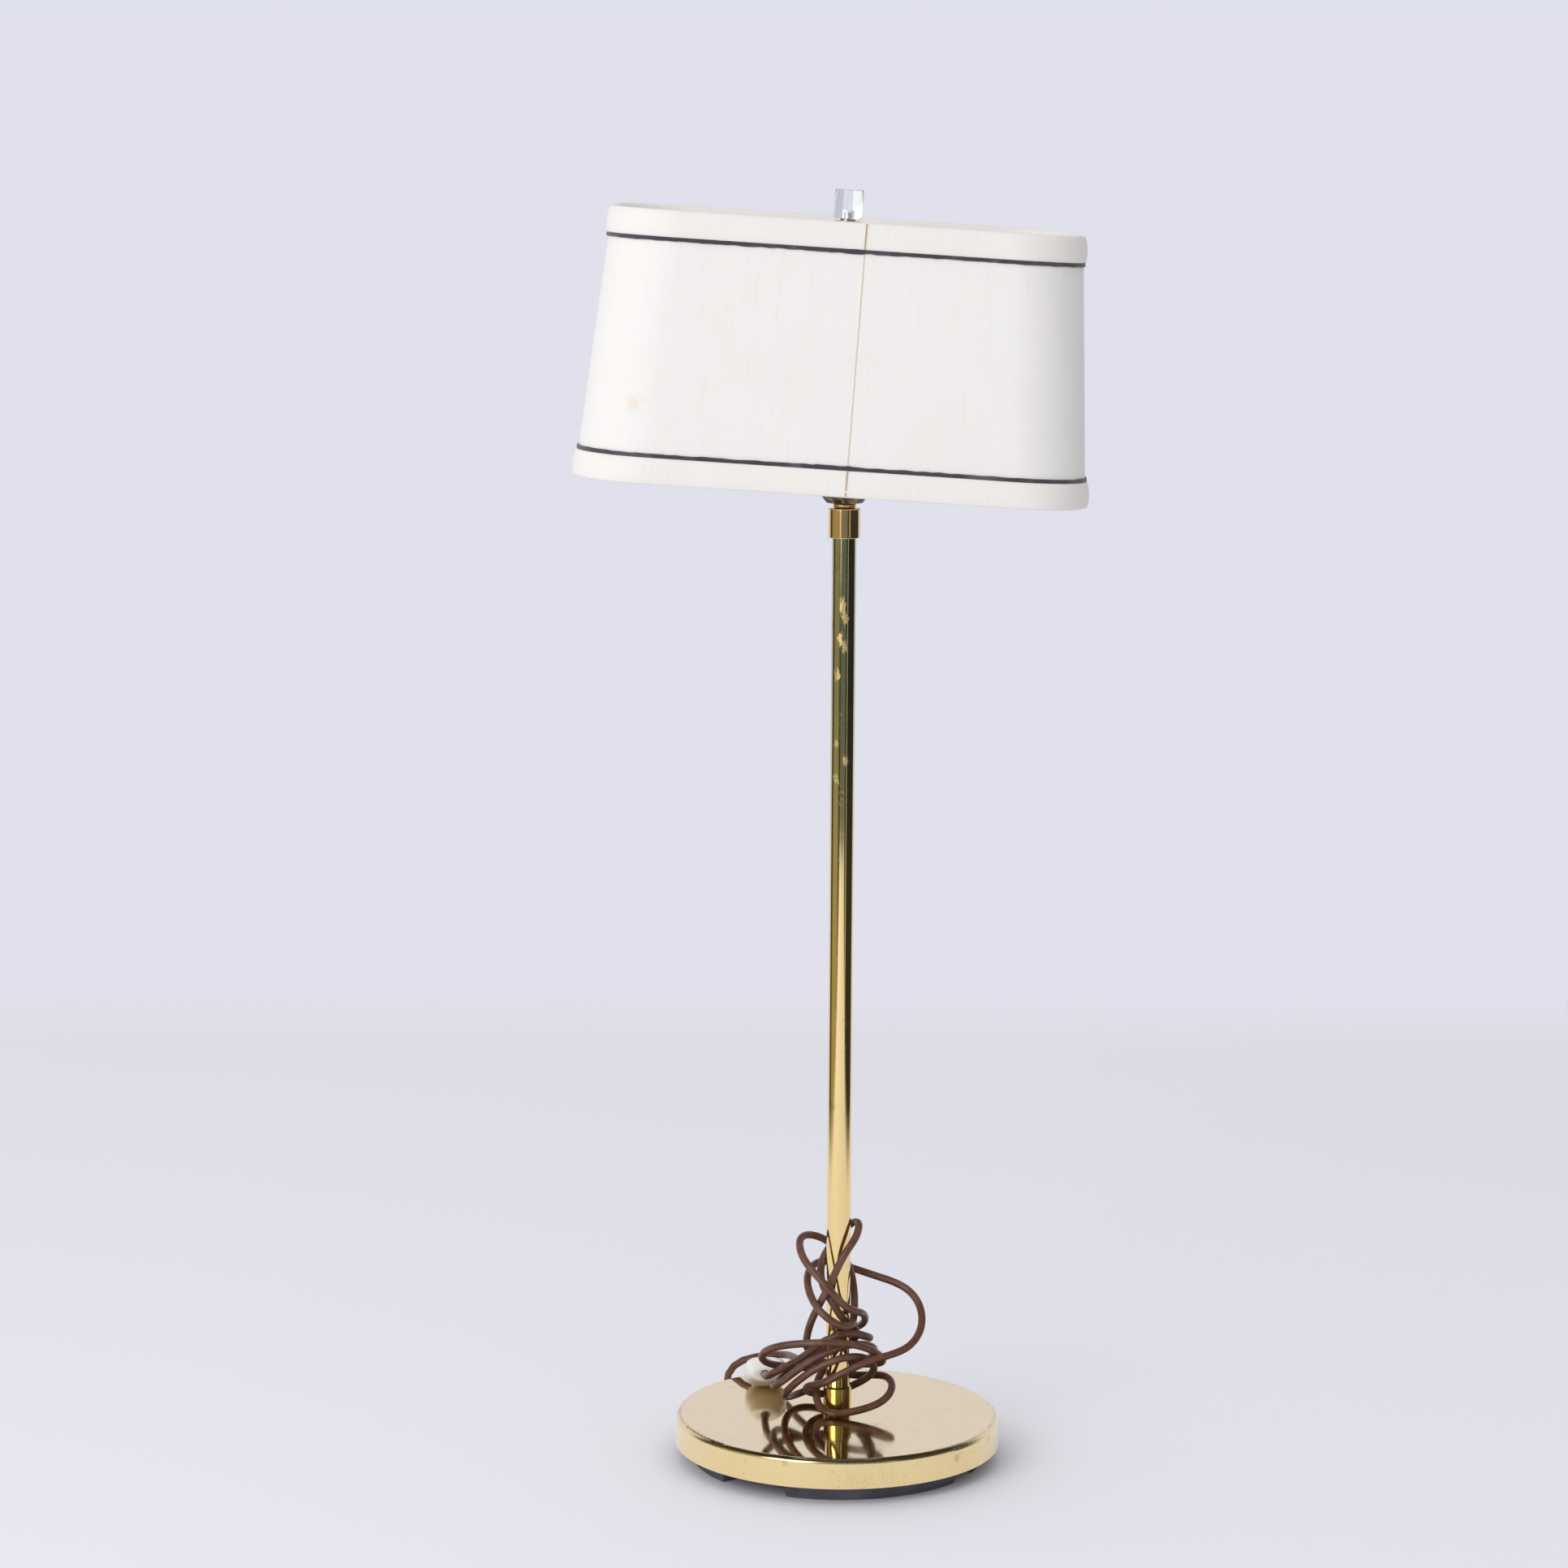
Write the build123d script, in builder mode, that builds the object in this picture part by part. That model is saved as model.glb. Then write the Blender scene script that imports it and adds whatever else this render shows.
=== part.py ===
# A brass floor lamp with a tilting cloth shade and its cord wound round the pole.
# Millimetres, +Z up, origin on the floor under the pole, camera side at -Y.

import os
from math import acos, cos, pi, radians, sin, sqrt, tan

from build123d import *

# Clearances
SLIP_GAP = 0.05
THREAD_GAP = 0.05
CLOTH_GAP = 0.3

# Foot and base
FOOT_RADIUS = 115.0
PAD_WIDTH = 18.0
PAD_HEIGHT = 10.0
PAD_DRAFT_ANGLE = 8.0
PLATE_THICKNESS = 3.0
ACCESS_RADIUS = 22.0
BASE_RADIUS = 127.5
BASE_TOP = 36.0
BASE_EDGE = 4.0
SKIRT_FLARE = 0.6
COVER_WALL = 1.0
WEIGHT_RADIUS = 100.0
RECESS_RADIUS = 24.0
RECESS_DEPTH = 12.0

# Pads as start and end angles in degrees, counted from the front towards the right
PADS = [(-20.5, 54), (68, 114), (132, 203), (235, 310)]

# Fasteners of the base
SCREW_COUNT = 3
SCREW_CIRCLE_RADIUS = 75.0
SCREW_RADIUS = 2.5
SCREW_LENGTH = 12.0
SCREW_END_GAP = 1.0
SCREW_HEAD_RADIUS = 4.5
SCREW_HEAD_HEIGHT = 2.8
SCREW_SLOT = 1.0
NIPPLE_RADIUS = 5.0
NIPPLE_BORE = 3.7
NIPPLE_END = 2.0
NIPPLE_TAIL = 1.0
WASHER_RADIUS = 15.0
WASHER_THICKNESS = 2.0
NUT_FLATS = 17.0
NUT_HEIGHT = 6.0

# Pole
POLE_RADIUS = 9.5
POLE_WALL = 1.0
POLE_TOP = 738.0
BUSH_LENGTH = 24.0
FERRULE_RADIUS = 11.0
FERRULE_HEIGHT = 22.0
FERRULE_CHAMFER = 1.2

# Neck
COLLAR_RADIUS = 12.5
COLLAR_LAP = 8.0
COLLAR_HEIGHT = 23.0
COLLAR_EDGE = 1.0
RING_RADIUS = 9.2
RING_HEIGHT = 4.0
RING_EDGE = 1.8
CUP_FLOOR_RADIUS = 14.0
CUP_KNEE_RADIUS = 17.5
CUP_KNEE_HEIGHT = 4.5
CUP_RIM_RADIUS = 21.0
CUP_HEIGHT = 17.0
CUP_WALL = 0.9

# Lampholder and bulb
HOLDER_STEM_RADIUS = 11.0
HOLDER_STEM_HEIGHT = 12.0
HOLDER_RADIUS = 17.0
HOLDER_HEIGHT = 34.0
HOLDER_FLANGE_RADIUS = 22.0
HOLDER_FLANGE_HEIGHT = 4.0
HOLDER_CAVITY_RADIUS = 12.5
HOLDER_FLOOR = 3.0
HOLDER_ROOF = 6.0
NIPPLE_GRIP = 10.0
SLEEVE_RADIUS = 19.0
SLEEVE_WALL = 3.2
SLEEVE_HEIGHT = 30.0
SLEEVE_EDGE = 0.96
SHELL_BORE = 13.5
SHELL_WALL = 0.6
SHELL_HEIGHT = 24.0
CONTACT_RADIUS = 4.5
CONTACT_HEIGHT = 2.5
HARP_RING_THICKNESS = 2.0
HARP_RING_RADIUS = 32.0
RING_NUT_RADIUS = 23.5
RING_NUT_HEIGHT = 6.0
RING_NUT_CHAMFER = 1.0
BULB_CAP_RADIUS = 13.2
BULB_CAP_HEIGHT = 24.0
BULB_CAP_CHAMFER = 4.4
BULB_TIP_RADIUS = 4.0
BULB_TIP_HEIGHT = 2.0
BULB_RADIUS = 30.0
BULB_LENGTH = 84.0
BULB_WALL = 0.8
BULB_SHOULDER_ANGLE = -35.0

# Push-through switch bar of the lampholder
SWITCH_RADIUS = 2.5
SWITCH_LENGTH = 48.0
SWITCH_DROP = 14.0
SWITCH_TRAVEL = 5.0
SWITCH_EDGE = 1.0

# Harp, swivel and ball
SHADE_TILT = 3.4
HARP_HEIGHT = 157.1
HARP_WIRE = 2.5
HARP_FOOT = 28.0
HARP_REACH = 46.0
HARP_WAIST = 70.0
HARP_BEND = 26.0
CROWN_RADIUS = 8.0
CROWN_HEIGHT = 20.0
CROWN_DROP = 9.0
CROWN_CHAMFER = 1.0
CROWN_EYE = 6.5
BALL_RADIUS = 6.0
BALL_NECK = 2.5
JOURNAL_RADIUS = 4.0
JOURNAL_LENGTH = 10.0
JOURNAL_END_GAP = 0.4
FLANGE_RADIUS = 5.5
FLANGE_HEIGHT = 1.0
HUB_RADIUS = 10.0
HUB_LOW = 4.0
HUB_HIGH = 11.5
STUD_RADIUS = 3.0
STUD_GRIP = 3.0
STUD_LENGTH = 9.5

# Shade, measured from the pivot along its own axis
SHADE_RIM = 12.0
SHADE_HEIGHT = 200.0
SHADE_BOTTOM_WIDTH = 384.0
SHADE_BOTTOM_DEPTH = 250.0
SHADE_SIDE_DRAW = 15.5
SHADE_FRONT_DRAW = 15.0
SHADE_CORNER = 55.0
CLOTH_THICKNESS = 1.0
LINER_THICKNESS = 0.8
BAND_HEIGHT = 19.0
BAND_THICKNESS = 1.5
TRIM_HEIGHT = 3.0
TRIM_THICKNESS = 1.2
FRAME_WIRE = 2.0
FRAME_INSET = 4.0
ARM_RADIUS = 2.0
ARM_SOCKET = 3.0

# Knob
KNOB_RADIUS = 11.0
KNOB_HEIGHT = 22.0
KNOB_EDGE = 2.0
KNOB_DRAFT_ANGLE = 0.4
KNOB_WASHER_RADIUS = 6.0
KNOB_WASHER_THICKNESS = 1.5
KNOB_HOLE_DEPTH = 6.5

# Cord and plug
CORD_RADIUS = 3.0
EXIT_ANGLE = 219.0
EXIT_HEIGHT = 5.4
GROMMET_INNER = 86.0
GROMMET_LENGTH = 24.0
GROMMET_ROOT = 4.2
GROMMET_TIP = 3.5
CLAMP_LENGTH = 10.0
CLAMP_WIDTH = 18.0
CLAMP_FLOOR = 0.4
CABLE_BEND = 10.0
SUPPLY_REACH = 144.0
SUPPLY_RISE = 44.0
SUPPLY_TAIL = 40.0
LEAD_HEAD = 16.0
LEAD_TAIL = 22.0
PLUG_X = -58.0
PLUG_CORD_END = 44.0
PLUG_TILT_ANGLE = 10.5
PLUG_NOSE = 19.0
PLUG_BLOCK = 15.0
PLUG_WIDTH = 34.0
PLUG_THICKNESS = 22.0
PLUG_CORNER = 9.0
PLUG_NECK_WIDTH = 22.6
PLUG_NECK_THICKNESS = 11.6
PLUG_NECK_CORNER = 5.4
PIN_RADIUS = 2.4
PIN_LENGTH = 19.0
PIN_SPACING = 19.0
PIN_ROOT = 8.0
PIN_EDGE = 1.44

# Winding round the pole: one row per turn, clockwise from above, each row the
# reach from the pole's axis and the height at the back, right, front and left
CORD_TURNS = [
    [(22.5, 69.5), (36, 78), (30, 100.5), (60.5, 80)],
    [(27, 60), (43.5, 57.5), (18, 39.5), (17, 52)],
    [(14.5, 82.5), (15, 100), (14, 121), (14, 150)],
    [(14, 176), (16, 187.5), (18, 159), (25, 91)],
    [(29, 91), (21.5, 112.5), (28.5, 135), (31, 173)],
    [(23, 161.5), (13, 125), (29.5, 115), (24.5, 143.5)],
    [(31.5, 148.5), (67, 112), (27.5, 73), (25, 54)],
    [(19, 47), (29, 72.5), (24, 85.5), (42, 48.5)],
    [(44.5, 52.5), (29, 87), (18, 93), (51, 56)],
    [(39.5, 83), (25.5, 96.5), (15.5, 102.5), (36, 75)],
]
COIL_FROM = Vector(-40, 80, 58)
COIL_TO = Vector(-47, 16, 68)
COIL_STRAIGHT = 2 * CORD_RADIUS
GAP_STEP = 2.5
BEND_SHARE = 0.45

# Sizes that follow from those above
PLATE_TOP = PAD_HEIGHT + PLATE_THICKNESS
WEIGHT_TOP = BASE_TOP - COVER_WALL
RECESS_TOP = PLATE_TOP + RECESS_DEPTH
NUT_TOP = RECESS_TOP - WASHER_THICKNESS
NIPPLE_BOTTOM = NUT_TOP - NUT_HEIGHT - NIPPLE_TAIL
FOOT_BUSH_TOP = BASE_TOP + BUSH_LENGTH
POLE_BORE = POLE_RADIUS - POLE_WALL
COLLAR_BOTTOM = POLE_TOP - COLLAR_LAP
COLLAR_TOP = COLLAR_BOTTOM + COLLAR_HEIGHT
RING_TOP = COLLAR_TOP + RING_HEIGHT
CUP_INSIDE = RING_TOP + CUP_WALL
HOLDER_TOP = CUP_INSIDE + HOLDER_HEIGHT
CAVITY_BOTTOM = CUP_INSIDE + HOLDER_STEM_HEIGHT + HOLDER_FLOOR
NIPPLE_TOP = CUP_INSIDE + NIPPLE_GRIP
SWITCH_HEIGHT = HOLDER_TOP - SWITCH_DROP
HARP_RING_TOP = HOLDER_TOP + HARP_RING_THICKNESS
CROWN_TOP = HARP_RING_TOP + HARP_HEIGHT
PIVOT_HEIGHT = CROWN_TOP + CROWN_DROP
EYE_HEIGHT = CROWN_TOP - CROWN_HEIGHT + CROWN_EYE
SHADE_FLOOR = SHADE_RIM - SHADE_HEIGHT
SHADE_TOP_WIDTH = SHADE_BOTTOM_WIDTH - 2 * SHADE_SIDE_DRAW
SHADE_TOP_DEPTH = SHADE_BOTTOM_DEPTH - 2 * SHADE_FRONT_DRAW
NUT_BORE = NIPPLE_RADIUS + THREAD_GAP
PLUG_LENGTH = PLUG_NOSE + PLUG_BLOCK

# The plug's line, from its cord end down to the pins, with the pin face's edge on the base
PLUG_LEAN = radians(PLUG_TILT_ANGLE)
PLUG_WAY = Vector(0, cos(PLUG_LEAN), -sin(PLUG_LEAN))
PLUG_LIFT = PLUG_THICKNESS / 2 * cos(PLUG_LEAN) + PLUG_LENGTH * sin(PLUG_LEAN)
PLUG_START = Vector(PLUG_X, PLUG_CORD_END, BASE_TOP + PLUG_LIFT)

# The shade's own frame, at the ball and leaning with the shade
LEAN = radians(SHADE_TILT)
SHADE_PLANE = Plane(
    origin=(0, 0, PIVOT_HEIGHT),
    x_dir=(cos(LEAN), 0, -sin(LEAN)),
    z_dir=(sin(LEAN), 0, cos(LEAN)),
)

os.makedirs("parts", exist_ok=True)


def save(builder, name):
    """Label a finished piece and write its STEP file."""
    builder.part.label = name
    export_step(builder.part, f"parts/{name}.step")


def tube(outer, bore, low, high):
    """Add an upright tube on the pole's axis to the open part."""
    with BuildSketch(Plane.XY.offset(low)) as section:
        Circle(outer)
        Circle(bore, mode=Mode.SUBTRACT)
    extrude(section.sketch, amount=high - low)


def disc(radius, low, high, mode=Mode.ADD):
    """Add or cut an upright cylinder on the pole's axis."""
    with BuildSketch(Plane.XY.offset(low)) as section:
        Circle(radius)
    extrude(section.sketch, amount=high - low, mode=mode)


# Foot

with BuildPart() as foot_plate:
    disc(FOOT_RADIUS, PAD_HEIGHT, PLATE_TOP)
    for first, last in PADS:
        with BuildSketch(Plane.XY.offset(PAD_HEIGHT)):
            with BuildLine():
                rim = CenterArc((0, 0), FOOT_RADIUS, first - 90, last - first)
                inside = CenterArc((0, 0), FOOT_RADIUS - PAD_WIDTH, first - 90, last - first)
                Line(rim @ 0, inside @ 0)
                Line(rim @ 1, inside @ 1)
            make_face()
        extrude(amount=-PAD_HEIGHT, taper=PAD_DRAFT_ANGLE)
    with Locations((0, 0, PLATE_TOP)):
        Hole(ACCESS_RADIUS)
        with PolarLocations(SCREW_CIRCLE_RADIUS, SCREW_COUNT):
            Hole(SCREW_RADIUS + SLIP_GAP)
save(foot_plate, "foot_plate")

with BuildPart() as base_weight:
    disc(WEIGHT_RADIUS, PLATE_TOP, WEIGHT_TOP)
    disc(RECESS_RADIUS, PLATE_TOP, RECESS_TOP, Mode.SUBTRACT)
    disc(NUT_BORE, PLATE_TOP, WEIGHT_TOP, Mode.SUBTRACT)
    with BuildSketch(Plane.XY.offset(PLATE_TOP)):
        with PolarLocations(SCREW_CIRCLE_RADIUS, SCREW_COUNT):
            Circle(SCREW_RADIUS + SLIP_GAP)
    extrude(amount=SCREW_LENGTH, mode=Mode.SUBTRACT)
save(base_weight, "base_weight")

with BuildPart() as base_cover:
    with BuildSketch(Plane.XZ):
        with BuildLine():
            Polyline(
                (0, PLATE_TOP),
                (BASE_RADIUS + SKIRT_FLARE, PLATE_TOP),
                (BASE_RADIUS, BASE_TOP),
                (0, BASE_TOP),
                close=True,
            )
        make_face()
    revolve(axis=Axis.Z)
    fillet(base_cover.edges().group_by(Axis.Z)[-1], BASE_EDGE)
    offset(amount=-COVER_WALL, openings=base_cover.faces().sort_by(Axis.Z)[0])
    disc(NUT_BORE, WEIGHT_TOP, BASE_TOP, Mode.SUBTRACT)
save(base_cover, "base_cover")

with BuildPart() as foot_screws:
    with BuildSketch(Plane.XY.offset(PAD_HEIGHT)):
        with PolarLocations(SCREW_CIRCLE_RADIUS, SCREW_COUNT):
            Circle(SCREW_HEAD_RADIUS)
    extrude(amount=-SCREW_HEAD_HEIGHT)
    with BuildSketch(Plane.XY.offset(PAD_HEIGHT)):
        with PolarLocations(SCREW_CIRCLE_RADIUS, SCREW_COUNT):
            Circle(SCREW_RADIUS)
    extrude(amount=PLATE_THICKNESS + SCREW_LENGTH - SCREW_END_GAP)
    with BuildSketch(Plane.XY.offset(PAD_HEIGHT - SCREW_HEAD_HEIGHT)):
        with PolarLocations(SCREW_CIRCLE_RADIUS, SCREW_COUNT):
            Rectangle(2 * SCREW_HEAD_RADIUS, SCREW_SLOT)
    extrude(amount=SCREW_HEAD_HEIGHT / 2, mode=Mode.SUBTRACT)
save(foot_screws, "foot_screws")

with BuildPart() as clamp_washer:
    tube(WASHER_RADIUS, NUT_BORE, NUT_TOP, RECESS_TOP)
save(clamp_washer, "clamp_washer")

with BuildPart() as clamp_nut:
    with BuildSketch(Plane.XY.offset(NUT_TOP - NUT_HEIGHT)):
        RegularPolygon(NUT_FLATS / 2, 6, major_radius=False)
        Circle(NUT_BORE, mode=Mode.SUBTRACT)
    extrude(amount=NUT_HEIGHT)
save(clamp_nut, "clamp_nut")

# Pole

with BuildPart() as pole_nipple:
    tube(NIPPLE_RADIUS, NIPPLE_BORE, NIPPLE_BOTTOM, FOOT_BUSH_TOP - NIPPLE_END)
save(pole_nipple, "pole_nipple")

with BuildPart() as pole_foot_bush:
    tube(POLE_BORE - SLIP_GAP, NUT_BORE, BASE_TOP, FOOT_BUSH_TOP)
save(pole_foot_bush, "pole_foot_bush")

with BuildPart() as base_ferrule:
    tube(FERRULE_RADIUS, POLE_RADIUS + SLIP_GAP, BASE_TOP, BASE_TOP + FERRULE_HEIGHT)
    rim_edge = base_ferrule.edges().group_by(Axis.Z)[-1].sort_by(SortBy.RADIUS)[-1]
    chamfer(rim_edge, FERRULE_CHAMFER)
save(base_ferrule, "base_ferrule")

with BuildPart() as pole:
    tube(POLE_RADIUS, POLE_BORE, BASE_TOP, POLE_TOP)
save(pole, "pole")

with BuildPart() as pole_top_bush:
    tube(POLE_BORE - SLIP_GAP, NUT_BORE, POLE_TOP - BUSH_LENGTH, POLE_TOP)
save(pole_top_bush, "pole_top_bush")

# Neck

with BuildPart() as neck_collar:
    disc(COLLAR_RADIUS, COLLAR_BOTTOM, COLLAR_TOP)
    fillet(neck_collar.edges().group_by(Axis.Z)[-1], COLLAR_EDGE)
    fillet(neck_collar.edges().group_by(Axis.Z)[0], COLLAR_EDGE / 2)
    disc(POLE_RADIUS + SLIP_GAP, COLLAR_BOTTOM, POLE_TOP, Mode.SUBTRACT)
    disc(NUT_BORE, POLE_TOP, COLLAR_TOP, Mode.SUBTRACT)
save(neck_collar, "neck_collar")

with BuildPart() as neck_ring:
    disc(RING_RADIUS, COLLAR_TOP, RING_TOP)
    fillet(neck_ring.edges(), RING_EDGE)
    disc(NUT_BORE, COLLAR_TOP, RING_TOP, Mode.SUBTRACT)
save(neck_ring, "neck_ring")

with BuildPart() as holder_cup:
    with BuildSketch(Plane.XZ):
        with BuildLine():
            floor = Line((NUT_BORE, RING_TOP), (CUP_FLOOR_RADIUS, RING_TOP))
            knee = Line(floor @ 1, (CUP_KNEE_RADIUS, RING_TOP + CUP_KNEE_HEIGHT))
            wall = Line(knee @ 1, (CUP_RIM_RADIUS, RING_TOP + CUP_HEIGHT))
            lip = Line(wall @ 1, (CUP_RIM_RADIUS - CUP_WALL, RING_TOP + CUP_HEIGHT))
            back = Line(lip @ 1, (CUP_KNEE_RADIUS - CUP_WALL, RING_TOP + CUP_KNEE_HEIGHT))
            inside = Line(back @ 1, (CUP_FLOOR_RADIUS - CUP_WALL, CUP_INSIDE))
            Line(inside @ 1, (NUT_BORE, CUP_INSIDE))
            Line((NUT_BORE, CUP_INSIDE), floor @ 0)
        make_face()
    revolve(axis=Axis.Z)
save(holder_cup, "holder_cup")

with BuildPart() as holder_nipple:
    tube(NIPPLE_RADIUS, NIPPLE_BORE, POLE_TOP - BUSH_LENGTH + NIPPLE_END, NIPPLE_TOP)
save(holder_nipple, "holder_nipple")

# Lampholder

with BuildPart() as lampholder_base:
    disc(HOLDER_STEM_RADIUS, CUP_INSIDE, CUP_INSIDE + HOLDER_STEM_HEIGHT)
    disc(HOLDER_RADIUS, CUP_INSIDE + HOLDER_STEM_HEIGHT, HOLDER_TOP)
    disc(HOLDER_FLANGE_RADIUS, HOLDER_TOP - HOLDER_FLANGE_HEIGHT, HOLDER_TOP)
    disc(HOLDER_CAVITY_RADIUS, CAVITY_BOTTOM, HOLDER_TOP - HOLDER_ROOF, Mode.SUBTRACT)
    disc(NUT_BORE, CUP_INSIDE, CAVITY_BOTTOM, Mode.SUBTRACT)
    with BuildSketch(Plane.YZ):
        with Locations((0, SWITCH_HEIGHT)):
            Circle(SWITCH_RADIUS + SLIP_GAP)
    extrude(amount=HOLDER_FLANGE_RADIUS, both=True, mode=Mode.SUBTRACT)
save(lampholder_base, "lampholder_base")

with BuildPart() as switch_bar:
    with BuildSketch(Plane.YZ.offset(-SWITCH_LENGTH / 2 - SWITCH_TRAVEL / 2)):
        with Locations((0, SWITCH_HEIGHT)):
            Circle(SWITCH_RADIUS)
    extrude(amount=SWITCH_LENGTH)
    fillet(switch_bar.edges().filter_by(GeomType.CIRCLE), SWITCH_EDGE)
save(switch_bar, "switch_bar")

with BuildPart() as lampholder_sleeve:
    tube(SLEEVE_RADIUS, SLEEVE_RADIUS - SLEEVE_WALL, HOLDER_TOP, HOLDER_TOP + SLEEVE_HEIGHT)
    fillet(lampholder_sleeve.edges().group_by(Axis.Z)[-1], SLEEVE_EDGE)
save(lampholder_sleeve, "lampholder_sleeve")

with BuildPart() as screw_shell:
    tube(SHELL_BORE + SHELL_WALL, SHELL_BORE, HOLDER_TOP, HOLDER_TOP + SHELL_HEIGHT)
save(screw_shell, "screw_shell")

with BuildPart() as centre_contact:
    disc(CONTACT_RADIUS, HOLDER_TOP, HOLDER_TOP + CONTACT_HEIGHT)
save(centre_contact, "centre_contact")

with BuildPart() as bulb_cap:
    cap_low = HOLDER_TOP + CONTACT_HEIGHT + BULB_TIP_HEIGHT
    disc(BULB_TIP_RADIUS, cap_low - BULB_TIP_HEIGHT, cap_low)
    disc(BULB_CAP_RADIUS, cap_low, cap_low + BULB_CAP_HEIGHT)
    cap_edges = bulb_cap.edges().filter_by(GeomType.CIRCLE).group_by(SortBy.RADIUS)[-1]
    chamfer(cap_edges.sort_by(Axis.Z)[0], BULB_CAP_CHAMFER)
save(bulb_cap, "bulb_cap")

CAP_TOP = cap_low + BULB_CAP_HEIGHT
BULB_CENTRE = CAP_TOP + BULB_LENGTH - BULB_RADIUS


def bulb_outline(shrink):
    """Half of the bulb's section, drawn in by the wall where asked."""
    neck = BULB_CAP_RADIUS - shrink
    ball = BULB_RADIUS - shrink
    turn = radians(BULB_SHOULDER_ANGLE)
    shoulder = (ball * cos(turn), BULB_CENTRE + ball * sin(turn))
    with BuildSketch(Plane.XZ) as section:
        with BuildLine():
            start = Line((0, CAP_TOP), (neck, CAP_TOP))
            Line(start @ 1, shoulder)
            arc = CenterArc((0, BULB_CENTRE), ball, BULB_SHOULDER_ANGLE, 90 - BULB_SHOULDER_ANGLE)
            Line(arc @ 1, start @ 0)
        make_face()
    return section.sketch


with BuildPart() as bulb_glass:
    revolve(bulb_outline(0), axis=Axis.Z)
    revolve(bulb_outline(BULB_WALL), axis=Axis.Z, mode=Mode.SUBTRACT)
save(bulb_glass, "bulb_glass")

# Harp

with BuildPart() as harp_ring:
    tube(HARP_RING_RADIUS, SLEEVE_RADIUS + SLIP_GAP, HOLDER_TOP, HARP_RING_TOP)
save(harp_ring, "harp_ring")

with BuildPart() as ring_nut:
    tube(RING_NUT_RADIUS, SLEEVE_RADIUS + THREAD_GAP, HARP_RING_TOP, HARP_RING_TOP + RING_NUT_HEIGHT)
    rim_edge = ring_nut.edges().group_by(Axis.Z)[-1].sort_by(SortBy.RADIUS)[-1]
    chamfer(rim_edge, RING_NUT_CHAMFER)
save(ring_nut, "ring_nut")

with BuildPart() as harp_bow:
    with BuildLine(Plane.XZ) as bow_line:
        FilletPolyline(
            (-HARP_FOOT, HARP_RING_TOP),
            (-HARP_FOOT, HARP_RING_TOP + HARP_WAIST / 3),
            (-HARP_REACH, HARP_RING_TOP + HARP_WAIST),
            (-HARP_REACH, EYE_HEIGHT),
            (HARP_REACH, EYE_HEIGHT),
            (HARP_REACH, HARP_RING_TOP + HARP_WAIST),
            (HARP_FOOT, HARP_RING_TOP + HARP_WAIST / 3),
            (HARP_FOOT, HARP_RING_TOP),
            radius=HARP_BEND,
        )
    with BuildSketch(Plane(origin=bow_line.line @ 0, z_dir=bow_line.line % 0)):
        Circle(HARP_WIRE)
    sweep()
save(harp_bow, "harp_bow")

with BuildPart() as harp_crown:
    disc(CROWN_RADIUS, CROWN_TOP - CROWN_HEIGHT, CROWN_TOP)
    chamfer(harp_crown.edges().group_by(Axis.Z)[0], CROWN_CHAMFER)
    disc(JOURNAL_RADIUS + SLIP_GAP, CROWN_TOP - JOURNAL_LENGTH - JOURNAL_END_GAP, CROWN_TOP, Mode.SUBTRACT)
    with BuildSketch(Plane.YZ):
        with Locations((0, EYE_HEIGHT)):
            Circle(HARP_WIRE + SLIP_GAP)
    extrude(amount=CROWN_RADIUS, both=True, mode=Mode.SUBTRACT)
save(harp_crown, "harp_crown")

with BuildPart() as pivot_ball:
    with BuildSketch(Plane.XZ):
        neck_top = PIVOT_HEIGHT - sqrt(BALL_RADIUS**2 - BALL_NECK**2)
        flange_low = CROWN_TOP + SLIP_GAP
        with BuildLine():
            Polyline(
                (0, CROWN_TOP - JOURNAL_LENGTH),
                (JOURNAL_RADIUS, CROWN_TOP - JOURNAL_LENGTH),
                (JOURNAL_RADIUS, flange_low),
                (FLANGE_RADIUS, flange_low),
                (FLANGE_RADIUS, flange_low + FLANGE_HEIGHT),
                (BALL_NECK, flange_low + FLANGE_HEIGHT),
                (BALL_NECK, neck_top),
            )
            ball_top = (0, PIVOT_HEIGHT + BALL_RADIUS)
            ThreePointArc((BALL_NECK, neck_top), (BALL_RADIUS, PIVOT_HEIGHT), ball_top)
            Line(ball_top, (0, CROWN_TOP - JOURNAL_LENGTH))
        make_face()
    revolve(axis=Axis.Z)
save(pivot_ball, "pivot_ball")

# Shade


def shade_size(height, grow):
    """Width, depth and corner radius of the shade's outline at a height."""
    share = (height - SHADE_FLOOR) / SHADE_HEIGHT
    width = SHADE_BOTTOM_WIDTH + (SHADE_TOP_WIDTH - SHADE_BOTTOM_WIDTH) * share
    depth = SHADE_BOTTOM_DEPTH + (SHADE_TOP_DEPTH - SHADE_BOTTOM_DEPTH) * share
    return width + 2 * grow, depth + 2 * grow, SHADE_CORNER + grow


def shade_loft(low, high, grow, mode=Mode.ADD):
    """Add or cut a block of the shade's outline between two heights."""
    outlines = []
    for height in (low, high):
        width, depth, corner = shade_size(height, grow)
        with BuildSketch(SHADE_PLANE.offset(height)) as outline:
            RectangleRounded(width, depth, corner)
        outlines.append(outline.sketch)
    loft(outlines, mode=mode)


def shade_wall(low, high, inside, thickness):
    """Add a wall that follows the shade between two heights."""
    shade_loft(low, high, inside + thickness)
    shade_loft(low, high, inside, Mode.SUBTRACT)


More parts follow.
